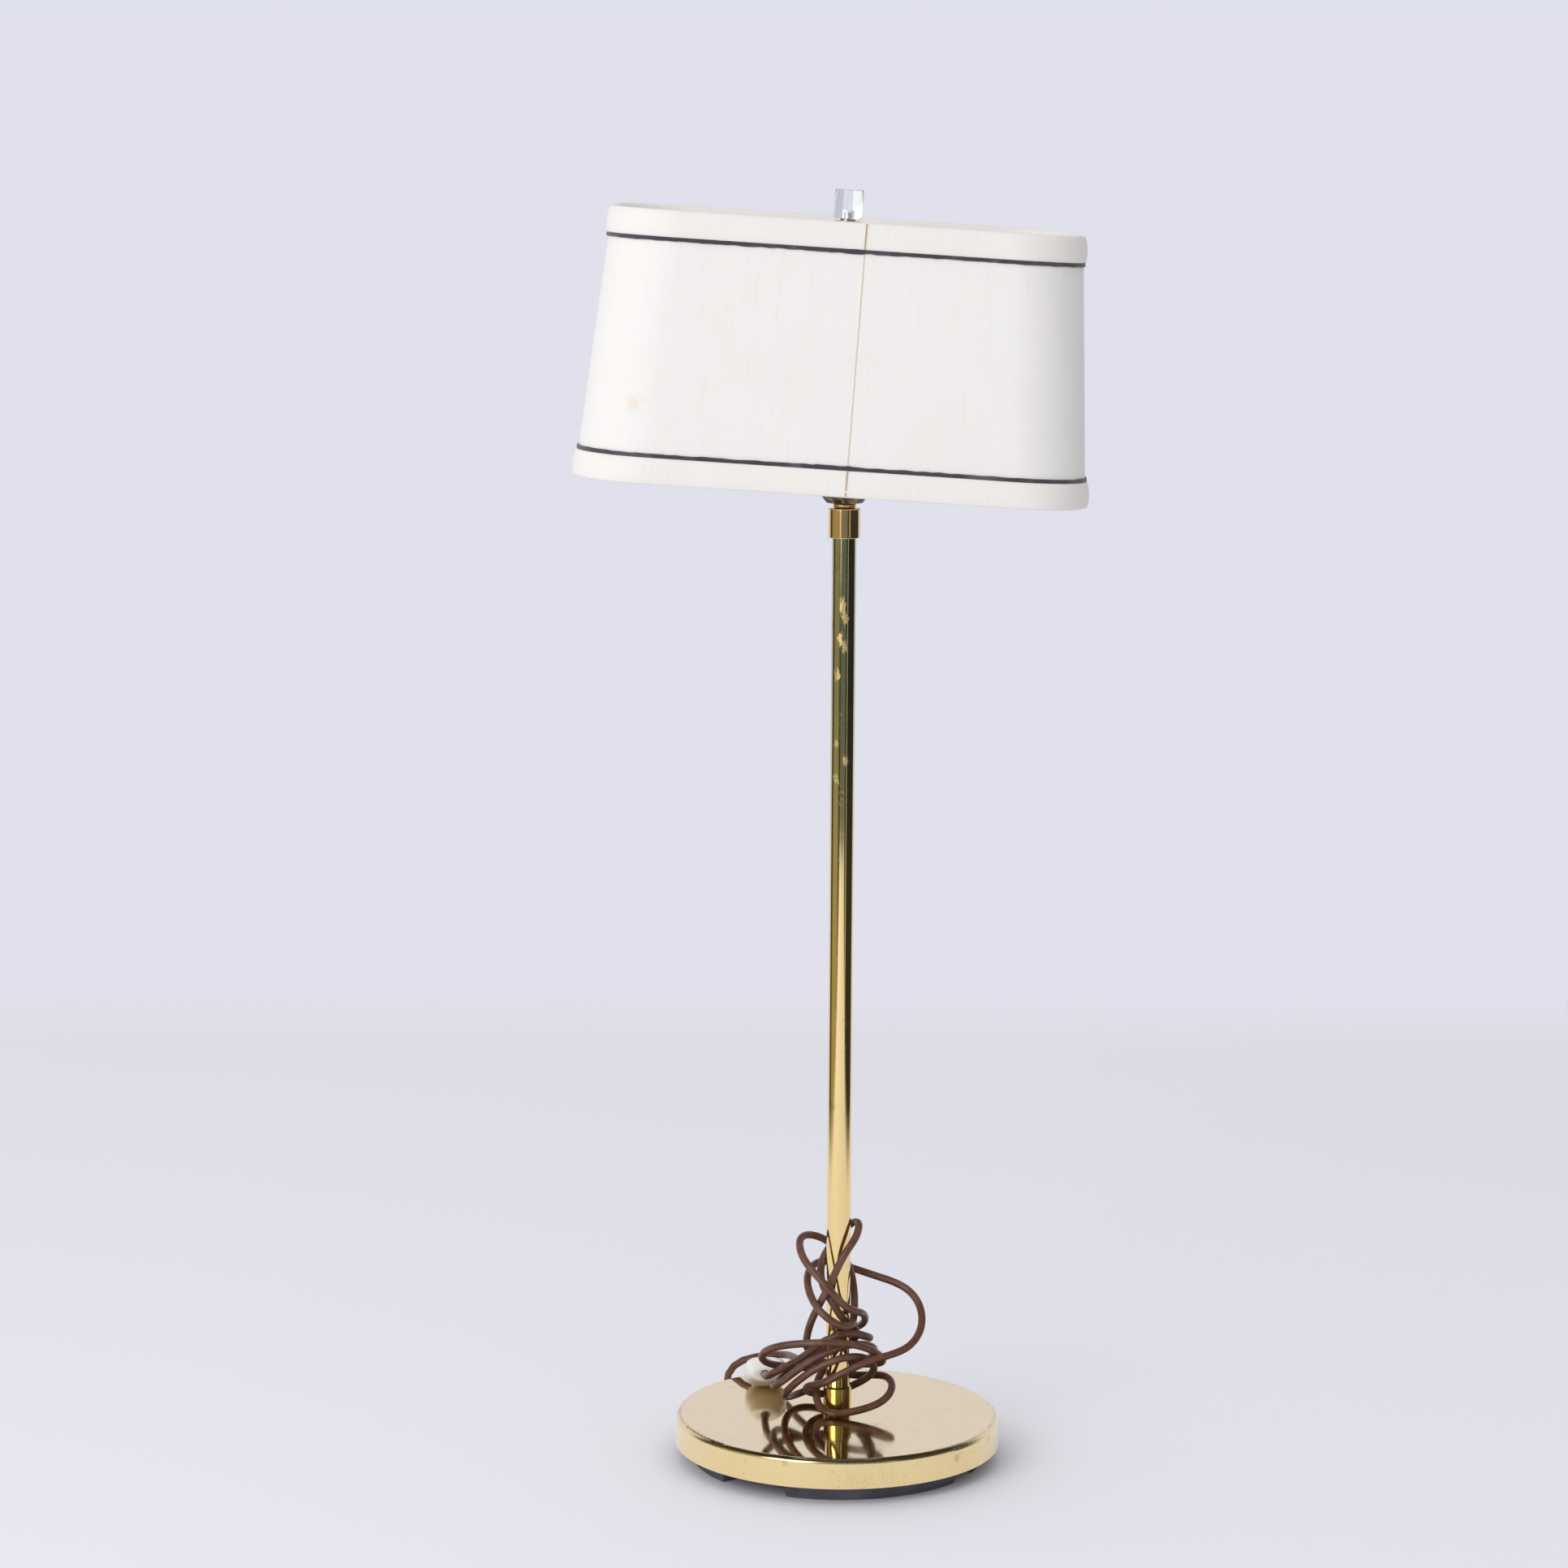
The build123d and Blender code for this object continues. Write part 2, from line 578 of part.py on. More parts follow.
BAND_SEAT = CLOTH_GAP
CLOTH_INSIDE = -CLOTH_THICKNESS
LINER_INSIDE = CLOTH_INSIDE - CLOTH_GAP - LINER_THICKNESS
TOP_BAND_LOW = SHADE_RIM - BAND_HEIGHT
BOTTOM_BAND_HIGH = SHADE_FLOOR + BAND_HEIGHT
TOP_FRAME_HEIGHT = SHADE_RIM - FRAME_INSET
BOTTOM_FRAME_HEIGHT = SHADE_FLOOR + FRAME_INSET

with BuildPart() as shade_cloth:
    shade_wall(SHADE_FLOOR, SHADE_RIM, CLOTH_INSIDE, CLOTH_THICKNESS)
save(shade_cloth, "shade_cloth")

with BuildPart() as shade_liner:
    shade_wall(SHADE_FLOOR, SHADE_RIM, LINER_INSIDE, LINER_THICKNESS)
save(shade_liner, "shade_liner")

with BuildPart() as top_band:
    shade_wall(TOP_BAND_LOW, SHADE_RIM, BAND_SEAT, BAND_THICKNESS)
save(top_band, "top_band")

with BuildPart() as bottom_band:
    shade_wall(SHADE_FLOOR, BOTTOM_BAND_HIGH, BAND_SEAT, BAND_THICKNESS)
save(bottom_band, "bottom_band")

with BuildPart() as top_trim:
    shade_wall(TOP_BAND_LOW - TRIM_HEIGHT, TOP_BAND_LOW, BAND_SEAT, TRIM_THICKNESS)
save(top_trim, "top_trim")

with BuildPart() as bottom_trim:
    shade_wall(BOTTOM_BAND_HIGH, BOTTOM_BAND_HIGH + TRIM_HEIGHT, BAND_SEAT, TRIM_THICKNESS)
save(bottom_trim, "bottom_trim")


def frame_inset(height):
    """How far the frame wire's centre line lies inside the cloth's face."""
    width, depth, corner = shade_size(height, LINER_INSIDE - CLOTH_GAP - FRAME_WIRE)
    return width, depth, corner


def frame_ring(height):
    """Add a closed wire ring inside the shade at a height."""
    width, depth, corner = frame_inset(height)
    with BuildSketch(SHADE_PLANE.offset(height)) as outline:
        RectangleRounded(width, depth, corner)
    ring = outline.sketch.face().outer_wire()
    with BuildSketch(Plane(origin=ring @ 0, z_dir=ring % 0)) as section:
        Circle(FRAME_WIRE)
    sweep(section.sketch, path=ring)


with BuildPart() as top_frame:
    frame_ring(TOP_FRAME_HEIGHT)
save(top_frame, "top_frame")

with BuildPart() as bottom_frame:
    frame_ring(BOTTOM_FRAME_HEIGHT)
save(bottom_frame, "bottom_frame")

TOP_WIRE_WIDTH, TOP_WIRE_DEPTH, TOP_WIRE_CORNER = frame_inset(TOP_FRAME_HEIGHT)
ARM_START = HUB_RADIUS - ARM_SOCKET
ARM_ENDS = [TOP_WIRE_WIDTH / 2, TOP_WIRE_DEPTH / 2, TOP_WIRE_WIDTH / 2, TOP_WIRE_DEPTH / 2]
ARM_HEIGHT = TOP_FRAME_HEIGHT


def arm_plane(index):
    """Plane at the hub that looks along one arm."""
    turn = radians(90 * index)
    out = SHADE_PLANE.x_dir * cos(turn) + SHADE_PLANE.y_dir * sin(turn)
    centre = SHADE_PLANE.origin + SHADE_PLANE.z_dir * ARM_HEIGHT
    return Plane(origin=centre + out * ARM_START, z_dir=out)


with BuildPart() as spider_arms:
    for index, end in enumerate(ARM_ENDS):
        with BuildSketch(arm_plane(index)):
            Circle(ARM_RADIUS)
        extrude(amount=end - FRAME_WIRE - SLIP_GAP - ARM_START)
save(spider_arms, "spider_arms")

with BuildPart() as spider_hub:
    with BuildSketch(SHADE_PLANE.offset(-HUB_LOW)):
        Circle(HUB_RADIUS)
    extrude(amount=HUB_LOW + HUB_HIGH)
    with Locations(SHADE_PLANE.location):
        Sphere(BALL_RADIUS + SLIP_GAP, mode=Mode.SUBTRACT)
    for index in range(len(ARM_ENDS)):
        with BuildSketch(arm_plane(index)):
            Circle(ARM_RADIUS + SLIP_GAP)
        extrude(amount=ARM_SOCKET, mode=Mode.SUBTRACT)
    with BuildSketch(SHADE_PLANE.offset(HUB_HIGH - STUD_GRIP)):
        Circle(STUD_RADIUS + THREAD_GAP)
    extrude(amount=STUD_GRIP, mode=Mode.SUBTRACT)
save(spider_hub, "spider_hub")

with BuildPart() as hub_stud:
    with BuildSketch(SHADE_PLANE.offset(HUB_HIGH - STUD_GRIP)):
        Circle(STUD_RADIUS)
    extrude(amount=STUD_LENGTH)
save(hub_stud, "hub_stud")

# Knob

KNOB_LOW = HUB_HIGH + SLIP_GAP + KNOB_WASHER_THICKNESS

with BuildPart() as knob_washer:
    with BuildSketch(SHADE_PLANE.offset(HUB_HIGH + SLIP_GAP)):
        Circle(KNOB_WASHER_RADIUS)
        Circle(STUD_RADIUS + THREAD_GAP, mode=Mode.SUBTRACT)
    extrude(amount=KNOB_WASHER_THICKNESS)
save(knob_washer, "knob_washer")

with BuildPart() as shade_knob:
    with BuildSketch(SHADE_PLANE.offset(KNOB_LOW)):
        Circle(KNOB_RADIUS)
    extrude(amount=KNOB_HEIGHT, taper=KNOB_DRAFT_ANGLE)
    fillet(shade_knob.edges().filter_by(GeomType.CIRCLE).sort_by(Axis.Z)[0], KNOB_EDGE)
    fillet(shade_knob.edges().filter_by(GeomType.CIRCLE).sort_by(Axis.Z)[-1], KNOB_EDGE / 4)
    with BuildSketch(SHADE_PLANE.offset(KNOB_LOW)):
        Circle(STUD_RADIUS + THREAD_GAP)
    extrude(amount=KNOB_HOLE_DEPTH, mode=Mode.SUBTRACT)
save(shade_knob, "shade_knob")

# Cable inside the pole and its way out of the foot

EXIT_TURN = radians(EXIT_ANGLE)
EXIT_OUT = Vector(sin(EXIT_TURN), -cos(EXIT_TURN), 0)


def exit_point(reach, height):
    """Point on the cord's way out, at a reach from the pole's axis."""
    return EXIT_OUT * reach + Vector(0, 0, height)


def exit_plane(reach):
    """Plane across the cord's way out, at a reach from the pole's axis."""
    return Plane(origin=exit_point(reach, EXIT_HEIGHT), x_dir=(0, 0, 1), z_dir=EXIT_OUT)


with BuildPart() as inner_cable:
    with BuildLine() as cable_line:
        FilletPolyline(
            (0, 0, NIPPLE_TOP),
            (0, 0, EXIT_HEIGHT),
            exit_point(GROMMET_INNER, EXIT_HEIGHT),
            radius=CABLE_BEND,
        )
    with BuildSketch(Plane(origin=cable_line.line @ 0, z_dir=cable_line.line % 0)):
        Circle(CORD_RADIUS)
    sweep()
save(inner_cable, "inner_cable")

GROMMET_OUTER = GROMMET_INNER + GROMMET_LENGTH

with BuildPart() as cord_grommet:
    with BuildSketch(exit_plane(GROMMET_INNER)):
        Circle(GROMMET_ROOT)
    extrude(amount=CLAMP_LENGTH)
    with BuildSketch(exit_plane(GROMMET_INNER + CLAMP_LENGTH)):
        Circle(GROMMET_ROOT)
    with BuildSketch(exit_plane(GROMMET_OUTER)):
        Circle(GROMMET_TIP)
    loft()
save(cord_grommet, "cord_grommet")

with BuildPart() as cord_clamp:
    with BuildSketch(exit_plane(GROMMET_INNER)):
        with Locations(((CLAMP_FLOOR + PAD_HEIGHT) / 2 - EXIT_HEIGHT, 0)):
            Rectangle(PAD_HEIGHT - CLAMP_FLOOR, CLAMP_WIDTH)
        Circle(GROMMET_ROOT, mode=Mode.SUBTRACT)
    extrude(amount=CLAMP_LENGTH)
save(cord_clamp, "cord_clamp")

# Cord wound round the pole


def coil_stations():
    """Points that the winding passes, four to a turn."""
    points = []
    for turn in CORD_TURNS:
        for reach, height in turn:
            angle = radians(90 - 90 * len(points))
            points.append(Vector(reach * cos(angle), reach * sin(angle), height))
    return points


def coil_tangents(stations):
    """Direction at each station, along the chord between its two neighbours."""
    chain = [COIL_FROM] + stations + [COIL_TO]
    return [(chain[i + 2] - chain[i]).normalized() for i in range(len(stations))]


def biarc_joint(start, start_way, end, end_way):
    """Point where the two arcs between two stations meet, and the way there."""
    gap = end - start
    square = 2 * (1 - start_way.dot(end_way))
    linear = 2 * gap.dot(start_way + end_way)
    handle = (sqrt(linear**2 + 4 * square * gap.dot(gap)) - linear) / (2 * square)
    first = start + start_way * handle
    second = end - end_way * handle
    return (first + second) / 2, (second - first).normalized()


STATIONS = coil_stations()
WAYS = coil_tangents(STATIONS)
COIL_START = STATIONS[0] - WAYS[0] * COIL_STRAIGHT
COIL_END = STATIONS[-1] + WAYS[-1] * COIL_STRAIGHT

with BuildPart() as cord_coil:
    with BuildLine() as coil_line:
        Line(COIL_START, STATIONS[0])
        for i in range(len(STATIONS) - 1):
            joint, joint_way = biarc_joint(STATIONS[i], WAYS[i], STATIONS[i + 1], WAYS[i + 1])
            TangentArc(STATIONS[i], joint, tangent=WAYS[i])
            TangentArc(joint, STATIONS[i + 1], tangent=joint_way)
        Line(STATIONS[-1], COIL_END)
    with BuildSketch(Plane(origin=COIL_START, z_dir=WAYS[0])):
        Circle(CORD_RADIUS)
    sweep()
save(cord_coil, "cord_coil")


def path_points(edges, step):
    """Points along a chain of edges, with their distance along it."""
    points = []
    run = 0.0
    for edge in edges:
        count = max(2, round(edge.length / step))
        points += [(edge @ (i / count), run + edge.length * i / count) for i in range(count)]
        run += edge.length
    return points, run


def least_gap(points, skip):
    """Least clear space between parts of the tube that are not neighbours."""
    least = 1000.0
    for i, (here, here_run) in enumerate(points):
        for there, there_run in points[i + 1:]:
            if there_run - here_run > skip:
                least = min(least, (there - here).length - 2 * CORD_RADIUS)
    return least


COIL_POINTS, COIL_LENGTH = path_points(coil_line.edges(), GAP_STEP)
COIL_GAP = least_gap(COIL_POINTS, 8 * CORD_RADIUS)
COIL_BEND = min(arc.radius for arc in coil_line.edges().filter_by(GeomType.CIRCLE))
CORD_SECTION = pi * CORD_RADIUS**2
print(f"coil: {len(CORD_TURNS)} turns, {COIL_LENGTH:.0f} mm, least gap to itself {COIL_GAP:.2f} mm")
print(f"coil: tightest arc {COIL_BEND:.1f} mm")
print(f"coil: volume share {cord_coil.part.volume / (CORD_SECTION * COIL_LENGTH):.4f}")

# Free stretches of the cord


def corner_radii(points):
    """Bend radius at each inner point, from its shorter run and its turn."""
    radii = []
    for before, at, after in zip(points, points[1:], points[2:]):
        came = at - before
        goes = after - at
        turn = acos(came.normalized().dot(goes.normalized()))
        radii.append(BEND_SHARE * min(came.length, goes.length) / tan(turn / 2))
    return radii


def free_cord(name, points):
    """Draw the line of a free stretch and print what it measures."""
    radii = corner_radii(points)
    line = FilletPolyline(*points, radius=radii)
    print(f"{name}: {line.length:.0f} mm, bend radii {', '.join(f'{r:.0f}' for r in radii)} mm")
    return line


GROMMET_END = exit_point(GROMMET_OUTER, EXIT_HEIGHT)
SUPPLY_POINTS = [
    GROMMET_END,
    exit_point(SUPPLY_REACH, EXIT_HEIGHT),
    exit_point(SUPPLY_REACH, SUPPLY_RISE),
    Vector(-42, 98, 56),
    COIL_START - WAYS[0] * SUPPLY_TAIL,
    COIL_START,
]
LEAD_POINTS = [
    COIL_END,
    COIL_END + WAYS[-1] * LEAD_HEAD,
    PLUG_START - PLUG_WAY * LEAD_TAIL,
    PLUG_START,
]

with BuildPart() as cord_supply:
    with BuildLine() as supply_line:
        free_cord("supply", SUPPLY_POINTS)
    with BuildSketch(Plane(origin=supply_line.line @ 0, z_dir=supply_line.line % 0)):
        Circle(CORD_RADIUS)
    sweep()
save(cord_supply, "cord_supply")

with BuildPart() as cord_plug_lead:
    with BuildLine() as lead_line:
        free_cord("plug lead", LEAD_POINTS)
    with BuildSketch(Plane(origin=lead_line.line @ 0, z_dir=lead_line.line % 0)):
        Circle(CORD_RADIUS)
    sweep()
save(cord_plug_lead, "cord_plug_lead")

for name, piece, line in (
    ("supply", cord_supply, supply_line),
    ("plug lead", cord_plug_lead, lead_line),
):
    print(f"{name}: volume share {piece.part.volume / (CORD_SECTION * line.wire().length):.4f}")

# Plug lying on the base


def plug_plane(run):
    """Plane across the plug, a length from its cord end, looking towards its pins."""
    return Plane(origin=PLUG_START + PLUG_WAY * run, x_dir=(1, 0, 0), z_dir=PLUG_WAY)


with BuildPart() as plug_body:
    with BuildSketch(plug_plane(0)):
        RectangleRounded(PLUG_NECK_WIDTH, PLUG_NECK_THICKNESS, PLUG_NECK_CORNER)
    with BuildSketch(plug_plane(PLUG_NOSE)):
        RectangleRounded(PLUG_WIDTH, PLUG_THICKNESS, PLUG_CORNER)
    loft()
    with BuildSketch(plug_plane(PLUG_NOSE)):
        RectangleRounded(PLUG_WIDTH, PLUG_THICKNESS, PLUG_CORNER)
    extrude(amount=PLUG_BLOCK)
    with BuildSketch(plug_plane(PLUG_LENGTH - PIN_ROOT)):
        with GridLocations(PIN_SPACING, 0, 2, 1):
            Circle(PIN_RADIUS + SLIP_GAP)
    extrude(amount=PIN_ROOT, mode=Mode.SUBTRACT)
save(plug_body, "plug_body")

with BuildPart() as plug_pins:
    with BuildSketch(plug_plane(PLUG_LENGTH - PIN_ROOT)):
        with GridLocations(PIN_SPACING, 0, 2, 1):
            Circle(PIN_RADIUS)
    extrude(amount=PIN_ROOT + PIN_LENGTH)
    fillet(plug_pins.edges().group_by(Axis.Y)[-1], PIN_EDGE)
save(plug_pins, "plug_pins")
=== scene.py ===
"""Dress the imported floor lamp: camera, wound cord, plug, cloth shade, knob and finishes."""

import logging
import math
from collections.abc import Callable
from dataclasses import dataclass
from enum import Enum
from functools import cache

import bmesh
import bpy
from mathutils import Matrix, Vector, noise


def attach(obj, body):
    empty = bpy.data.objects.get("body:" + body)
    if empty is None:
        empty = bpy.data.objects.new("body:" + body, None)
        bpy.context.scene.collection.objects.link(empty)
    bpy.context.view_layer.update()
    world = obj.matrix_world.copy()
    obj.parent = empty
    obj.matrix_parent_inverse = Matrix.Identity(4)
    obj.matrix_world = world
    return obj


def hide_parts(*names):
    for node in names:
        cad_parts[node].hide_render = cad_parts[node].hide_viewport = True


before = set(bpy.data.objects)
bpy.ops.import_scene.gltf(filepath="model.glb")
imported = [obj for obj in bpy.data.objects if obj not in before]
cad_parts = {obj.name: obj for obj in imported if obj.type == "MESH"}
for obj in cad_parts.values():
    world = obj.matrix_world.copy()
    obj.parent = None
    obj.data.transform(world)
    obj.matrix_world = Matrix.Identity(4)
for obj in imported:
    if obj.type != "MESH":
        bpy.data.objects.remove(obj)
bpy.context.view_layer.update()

LOG = logging.getLogger("floor_lamp")
MM = 0.001
Triple = tuple[float, float, float]
Colour = Triple
Range = tuple[float, float]
Inputs = dict[int | str, object]
Object = bpy.types.Object
Material = bpy.types.Material
Node = bpy.types.Node
NodeTree = bpy.types.NodeTree
BMesh = bmesh.types.BMesh
Mark = tuple[Vector, Vector]
MIDTONES: Range = (0.3, 0.7)
NOISE_MIDDLE = 0.5
NO_TURN: Triple = (0.0, 0.0, 0.0)
# The colour sockets of a Mix node go by their place, because its socket names repeat
MIX_SHARE = 0
MIX_FIRST = 6
MIX_SECOND = 7
MIX_RESULT = 2


class Body(Enum):
    """The moving bodies that pieces ride on."""

    STAND = "stand"
    SHADE = "shade"
    KNOB = "knob"


class Slot(Enum):
    """The record's material slots of the new pieces."""

    CLOTH = "ivory_cloth"
    BAND = "cream_band"
    TRIM = "dark_trim"
    CORD = "brown_cord"
    PLUG = "white_plug"
    KNOB = "clear_acrylic"


@dataclass(frozen=True)
class Patch:
    """Soft patches: their scale in cycles per metre, the noise where they start and end, and their level."""

    scale: float
    low: float = 0.5
    high: float = 0.7
    level: float = 1.0


def sum_with(operation: str) -> Callable:
    """Return a method that works out one sum of a term and another value."""
    return lambda term, other=0.0: term.nodes.math(operation, term, other)


@dataclass(frozen=True)
class Term:
    """One output in a shader tree, which can be reckoned with like a number."""

    nodes: "Nodes"
    socket: bpy.types.NodeSocket

    __add__ = sum_with("ADD")
    __sub__ = sum_with("SUBTRACT")
    __mul__ = sum_with("MULTIPLY")
    __truediv__ = sum_with("DIVIDE")
    __abs__ = sum_with("ABSOLUTE")
    most = sum_with("MAXIMUM")
    root = sum_with("SQRT")
    sine = sum_with("SINE")
    turn_from = sum_with("ARCTAN2")

    def __rsub__(self, other: float) -> "Term":
        """Return a number less this term."""
        return self.nodes.math("SUBTRACT", other, self)

    def clip(self) -> "Term":
        """Keep the sum that made this term between 0 and 1."""
        self.socket.node.use_clamp = True
        return self

    def ramp(self, low: "Term | float", high: "Term | float", to_low: float = 0.0,
             to_high: float = 1.0) -> "Term":
        """Return the term eased from one range to another."""
        inputs = {"Value": self, "From Min": low, "From Max": high, "To Min": to_low, "To Max": to_high}
        return self.nodes.get("ShaderNodeMapRange", inputs, interpolation_type="SMOOTHSTEP")

    def fade(self, low: float, high: float) -> "Term":
        """Return a mask that falls from 1 to 0 over a range."""
        return self.ramp(low, high, 1.0, 0.0)

    def mix(self, first: "Term | Colour", second: "Term | Colour") -> "Term":
        """Return a blend of two colours, with this term as the second one's share."""
        inputs = {MIX_SHARE: self, MIX_FIRST: first, MIX_SECOND: second}
        return self.nodes.get("ShaderNodeMix", inputs, MIX_RESULT, data_type="RGBA")

    def noise(self, scale: "Term | float", detail: float = 4.0, rough: float = 0.55) -> "Term":
        """Return a noise on these coordinates, at a scale in cycles per metre."""
        inputs = {"Vector": self, "Scale": scale, "Detail": detail, "Roughness": rough}
        return self.nodes.get("ShaderNodeTexNoise", inputs)

    def stretch(self, scale: Triple, turn: Triple = NO_TURN) -> "Term":
        """Return these coordinates stretched and turned."""
        return self.nodes.get("ShaderNodeMapping", {"Vector": self, "Scale": scale, "Rotation": turn})

    def split(self) -> list["Term"]:
        """Return the three parts of these coordinates."""
        return self.nodes.outputs("ShaderNodeSeparateXYZ", {"Vector": self})

    def bump(self, strength: float, depth: float) -> "Term":
        """Return a normal raised by this height."""
        return self.nodes.get("ShaderNodeBump", {"Strength": strength, "Distance": depth, "Height": self})

    def effect(self, group: NodeTree, **values: float) -> list["Term"]:
        """Return the outputs of a shared effect on these coordinates, with its values by name."""
        inputs = {"Vector": self} | {name.title(): value for name, value in values.items()}
        return self.nodes.outputs("ShaderNodeGroup", inputs, node_tree=group)

    def patches(self, patch: Patch) -> "Term":
        """Return a mask of soft patches on these coordinates."""
        return self.effect(Effects.blotch(), scale=patch.scale, low=patch.low, high=patch.high)[0]


class Nodes:
    """A shader node tree, written as short calls."""

    def __init__(self, tree: NodeTree) -> None:
        """Keep the tree that the calls add to."""
        self.tree = tree

    def set(self, node: Node, inputs: Inputs) -> None:
        """Link terms to a node's inputs, and write plain values into them.

        Args:
            node: the node to feed.
            inputs: terms, numbers, colours or vectors, by input name or index.
        """
        for key, value in inputs.items():
            socket = node.inputs[key]
            if isinstance(value, Term):
                self.tree.links.new(value.socket, socket)
            else:
                socket.default_value = (*value, 1.0) if socket.type == "RGBA" else value

    def add(self, kind: str, inputs: Inputs | None = None, **settings: object) -> Node:
        """Add a node, with its own settings first and its inputs after them.

        Args:
            kind: the node's type.
            inputs: terms or values, by input name or index.
            **settings: the node's own settings.

        Returns:
            The new node.
        """
        node = self.tree.nodes.new(kind)
        for name, value in settings.items():
            setattr(node, name, value)
        self.set(node, inputs or {})
        return node

    def get(self, kind: str, inputs: Inputs | None = None, out: int | str = 0, **settings: object) -> Term:
        """Add a node and return one of its outputs, the first unless another is asked for."""
        return Term(self, self.add(kind, inputs, **settings).outputs[out])

    def outputs(self, kind: str, inputs: Inputs | None = None, **settings: object) -> list[Term]:
        """Add a node and return all its outputs."""
        return [Term(self, socket) for socket in self.add(kind, inputs, **settings).outputs]

    def math(self, operation: str, first: Term | float, second: Term | float) -> Term:
        """Return the result of one sum on two values."""
        return self.get("ShaderNodeMath", {0: first, 1: second}, operation=operation)

    def place(self, kind: str = "Object") -> Term:
        """Return coordinates: the lamp's own frame in metres, unless another kind is asked for."""
        return self.get("ShaderNodeTexCoord", out=kind)


class Effects:
    """Shared shader node groups, each built on its first use, with scales in cycles per metre."""

    scratch_ways: tuple[tuple[float, Triple], ...] = ((0.35, (1.0, 9.0, 3.0)), (1.2, (8.0, 1.0, 3.0)))
    scratch_breaks: Patch = Patch(45.0, 0.5, 0.62)
    grain_patches: float = 35.0
    slub_stretch: Triple = (1.0, 0.035, 1.0)
    slub_share: float = 0.7
    level_stretch: Triple = (0.06, 1.0, 1.0)
    level_scale: float = 420.0
    level_share: float = 0.3
    thread_height: float = 0.18

    @staticmethod
    def begin(name: str, **values: float) -> tuple[Nodes, dict[str, Term]]:
        """Open a group with a Vector input and number inputs.

        Args:
            name: the group's name.
            **values: the number inputs, with their defaults.

        Returns:
            The group's node writer, and its inputs by name.
        """
        tree = bpy.data.node_groups.new(name, "ShaderNodeTree")
        tree.interface.new_socket("Vector", in_out="INPUT", socket_type="NodeSocketVector")
        for key, default in values.items():
            socket = tree.interface.new_socket(key, in_out="INPUT", socket_type="NodeSocketFloat")
            socket.default_value = default
        nodes = Nodes(tree)
        given = nodes.add("NodeGroupInput").outputs
        return nodes, {key: Term(nodes, given[key]) for key in ("Vector", *values)}

    @staticmethod
    def end(nodes: Nodes, **results: Term) -> NodeTree:
        """Close a group with its number outputs.

        Args:
            nodes: the group's node writer.
            **results: what each output gives.

        Returns:
            The finished group.
        """
        for key in results:
            nodes.tree.interface.new_socket(key, in_out="OUTPUT", socket_type="NodeSocketFloat")
        nodes.add("NodeGroupOutput", results)
        return nodes.tree

    @classmethod
    @cache
    def blotch(cls) -> NodeTree:
        """Build soft patches of tarnish, smudge or dirt.

        Returns:
            The group.
        """
        nodes, given = cls.begin("soft_blotch", Scale=40.0, Low=0.5, High=0.7)
        cloud = given["Vector"].noise(given["Scale"], detail=6.0, rough=0.6)
        return cls.end(nodes, Mask=cloud.ramp(given["Low"], given["High"]))

    @classmethod
    @cache
    def scratch(cls) -> NodeTree:
        """Build fine broken scratches that run two ways.

        Returns:
            The group.
        """
        nodes, given = cls.begin("fine_scratch", Scale=60.0, Width=0.012)
        lines = []
        for turn, long_way in cls.scratch_ways:
            lay = given["Vector"].stretch(long_way, (0.0, 0.0, turn))
            wave = lay.noise(given["Scale"], detail=2.0, rough=0.4)
            lines.append((1.0 - abs(wave - NOISE_MIDDLE) / given["Width"]).clip())
        breaks = cls.scratch_breaks
        broken = given["Vector"].noise(breaks.scale, detail=3.0).ramp(breaks.low, breaks.high)
        return cls.end(nodes, Mask=lines[0].most(lines[1]) * broken)

    @classmethod
    @cache
    def grain(cls) -> NodeTree:
        """Build the fine grain of moulded and cast surfaces.

        Returns:
            The group.
        """
        nodes, given = cls.begin("fine_grain", Scale=900.0)
        fine = given["Vector"].noise(given["Scale"], detail=2.0)
        return cls.end(nodes, Height=fine, Tone=given["Vector"].noise(cls.grain_patches, detail=5.0))

    @classmethod
    @cache
    def weave(cls) -> NodeTree:
        """Build a plain weave with upright slubs, on coordinates in metres.

        Returns:
            The group.
        """
        nodes, given = cls.begin("slub_weave", Threads=1150.0, Slubs=330.0)
        place = given["Vector"]
        across, up, _ = ((way * given["Threads"] * math.tau).sine() for way in place.split())
        streak = place.stretch(cls.slub_stretch).noise(given["Slubs"], detail=3.0, rough=0.6)
        level = place.stretch(cls.level_stretch).noise(cls.level_scale, detail=2.0, rough=0.5)
        slub = streak * cls.slub_share + level * cls.level_share
        return cls.end(nodes, Height=across * up * cls.thread_height + slub, Slub=slub)


@dataclass(frozen=True)
class Finish:
    """A named finish with a colour, roughness and metal share. A relief is a strength and a depth."""

    name: str
    colour: Colour
    roughness: float = 0.5
    metal: float = 0.0

    def build(self) -> Material:
        """Make the material and let the finish add its own detail.

        Returns:
            The finished material.
        """
        material = bpy.data.materials.new(self.name)
        material.use_nodes = True
        nodes = Nodes(material.node_tree)
        shader = material.node_tree.nodes["Principled BSDF"]
        nodes.set(shader, {"Base Color": self.colour, "Roughness": self.roughness, "Metallic": self.metal})
        nodes.set(shader, self.dress(nodes.place()))
        return material

    def dress(self, place: Term) -> Inputs:
        """Return the shader inputs that give the finish its own detail, from the lamp's coordinates."""
        raise NotImplementedError

    def gloss(self, tone: Term, spread: float) -> Term:
        """Return the roughness, spread either way with a tone."""
        return tone.ramp(*MIDTONES, self.roughness - spread / 2, self.roughness + spread / 2)


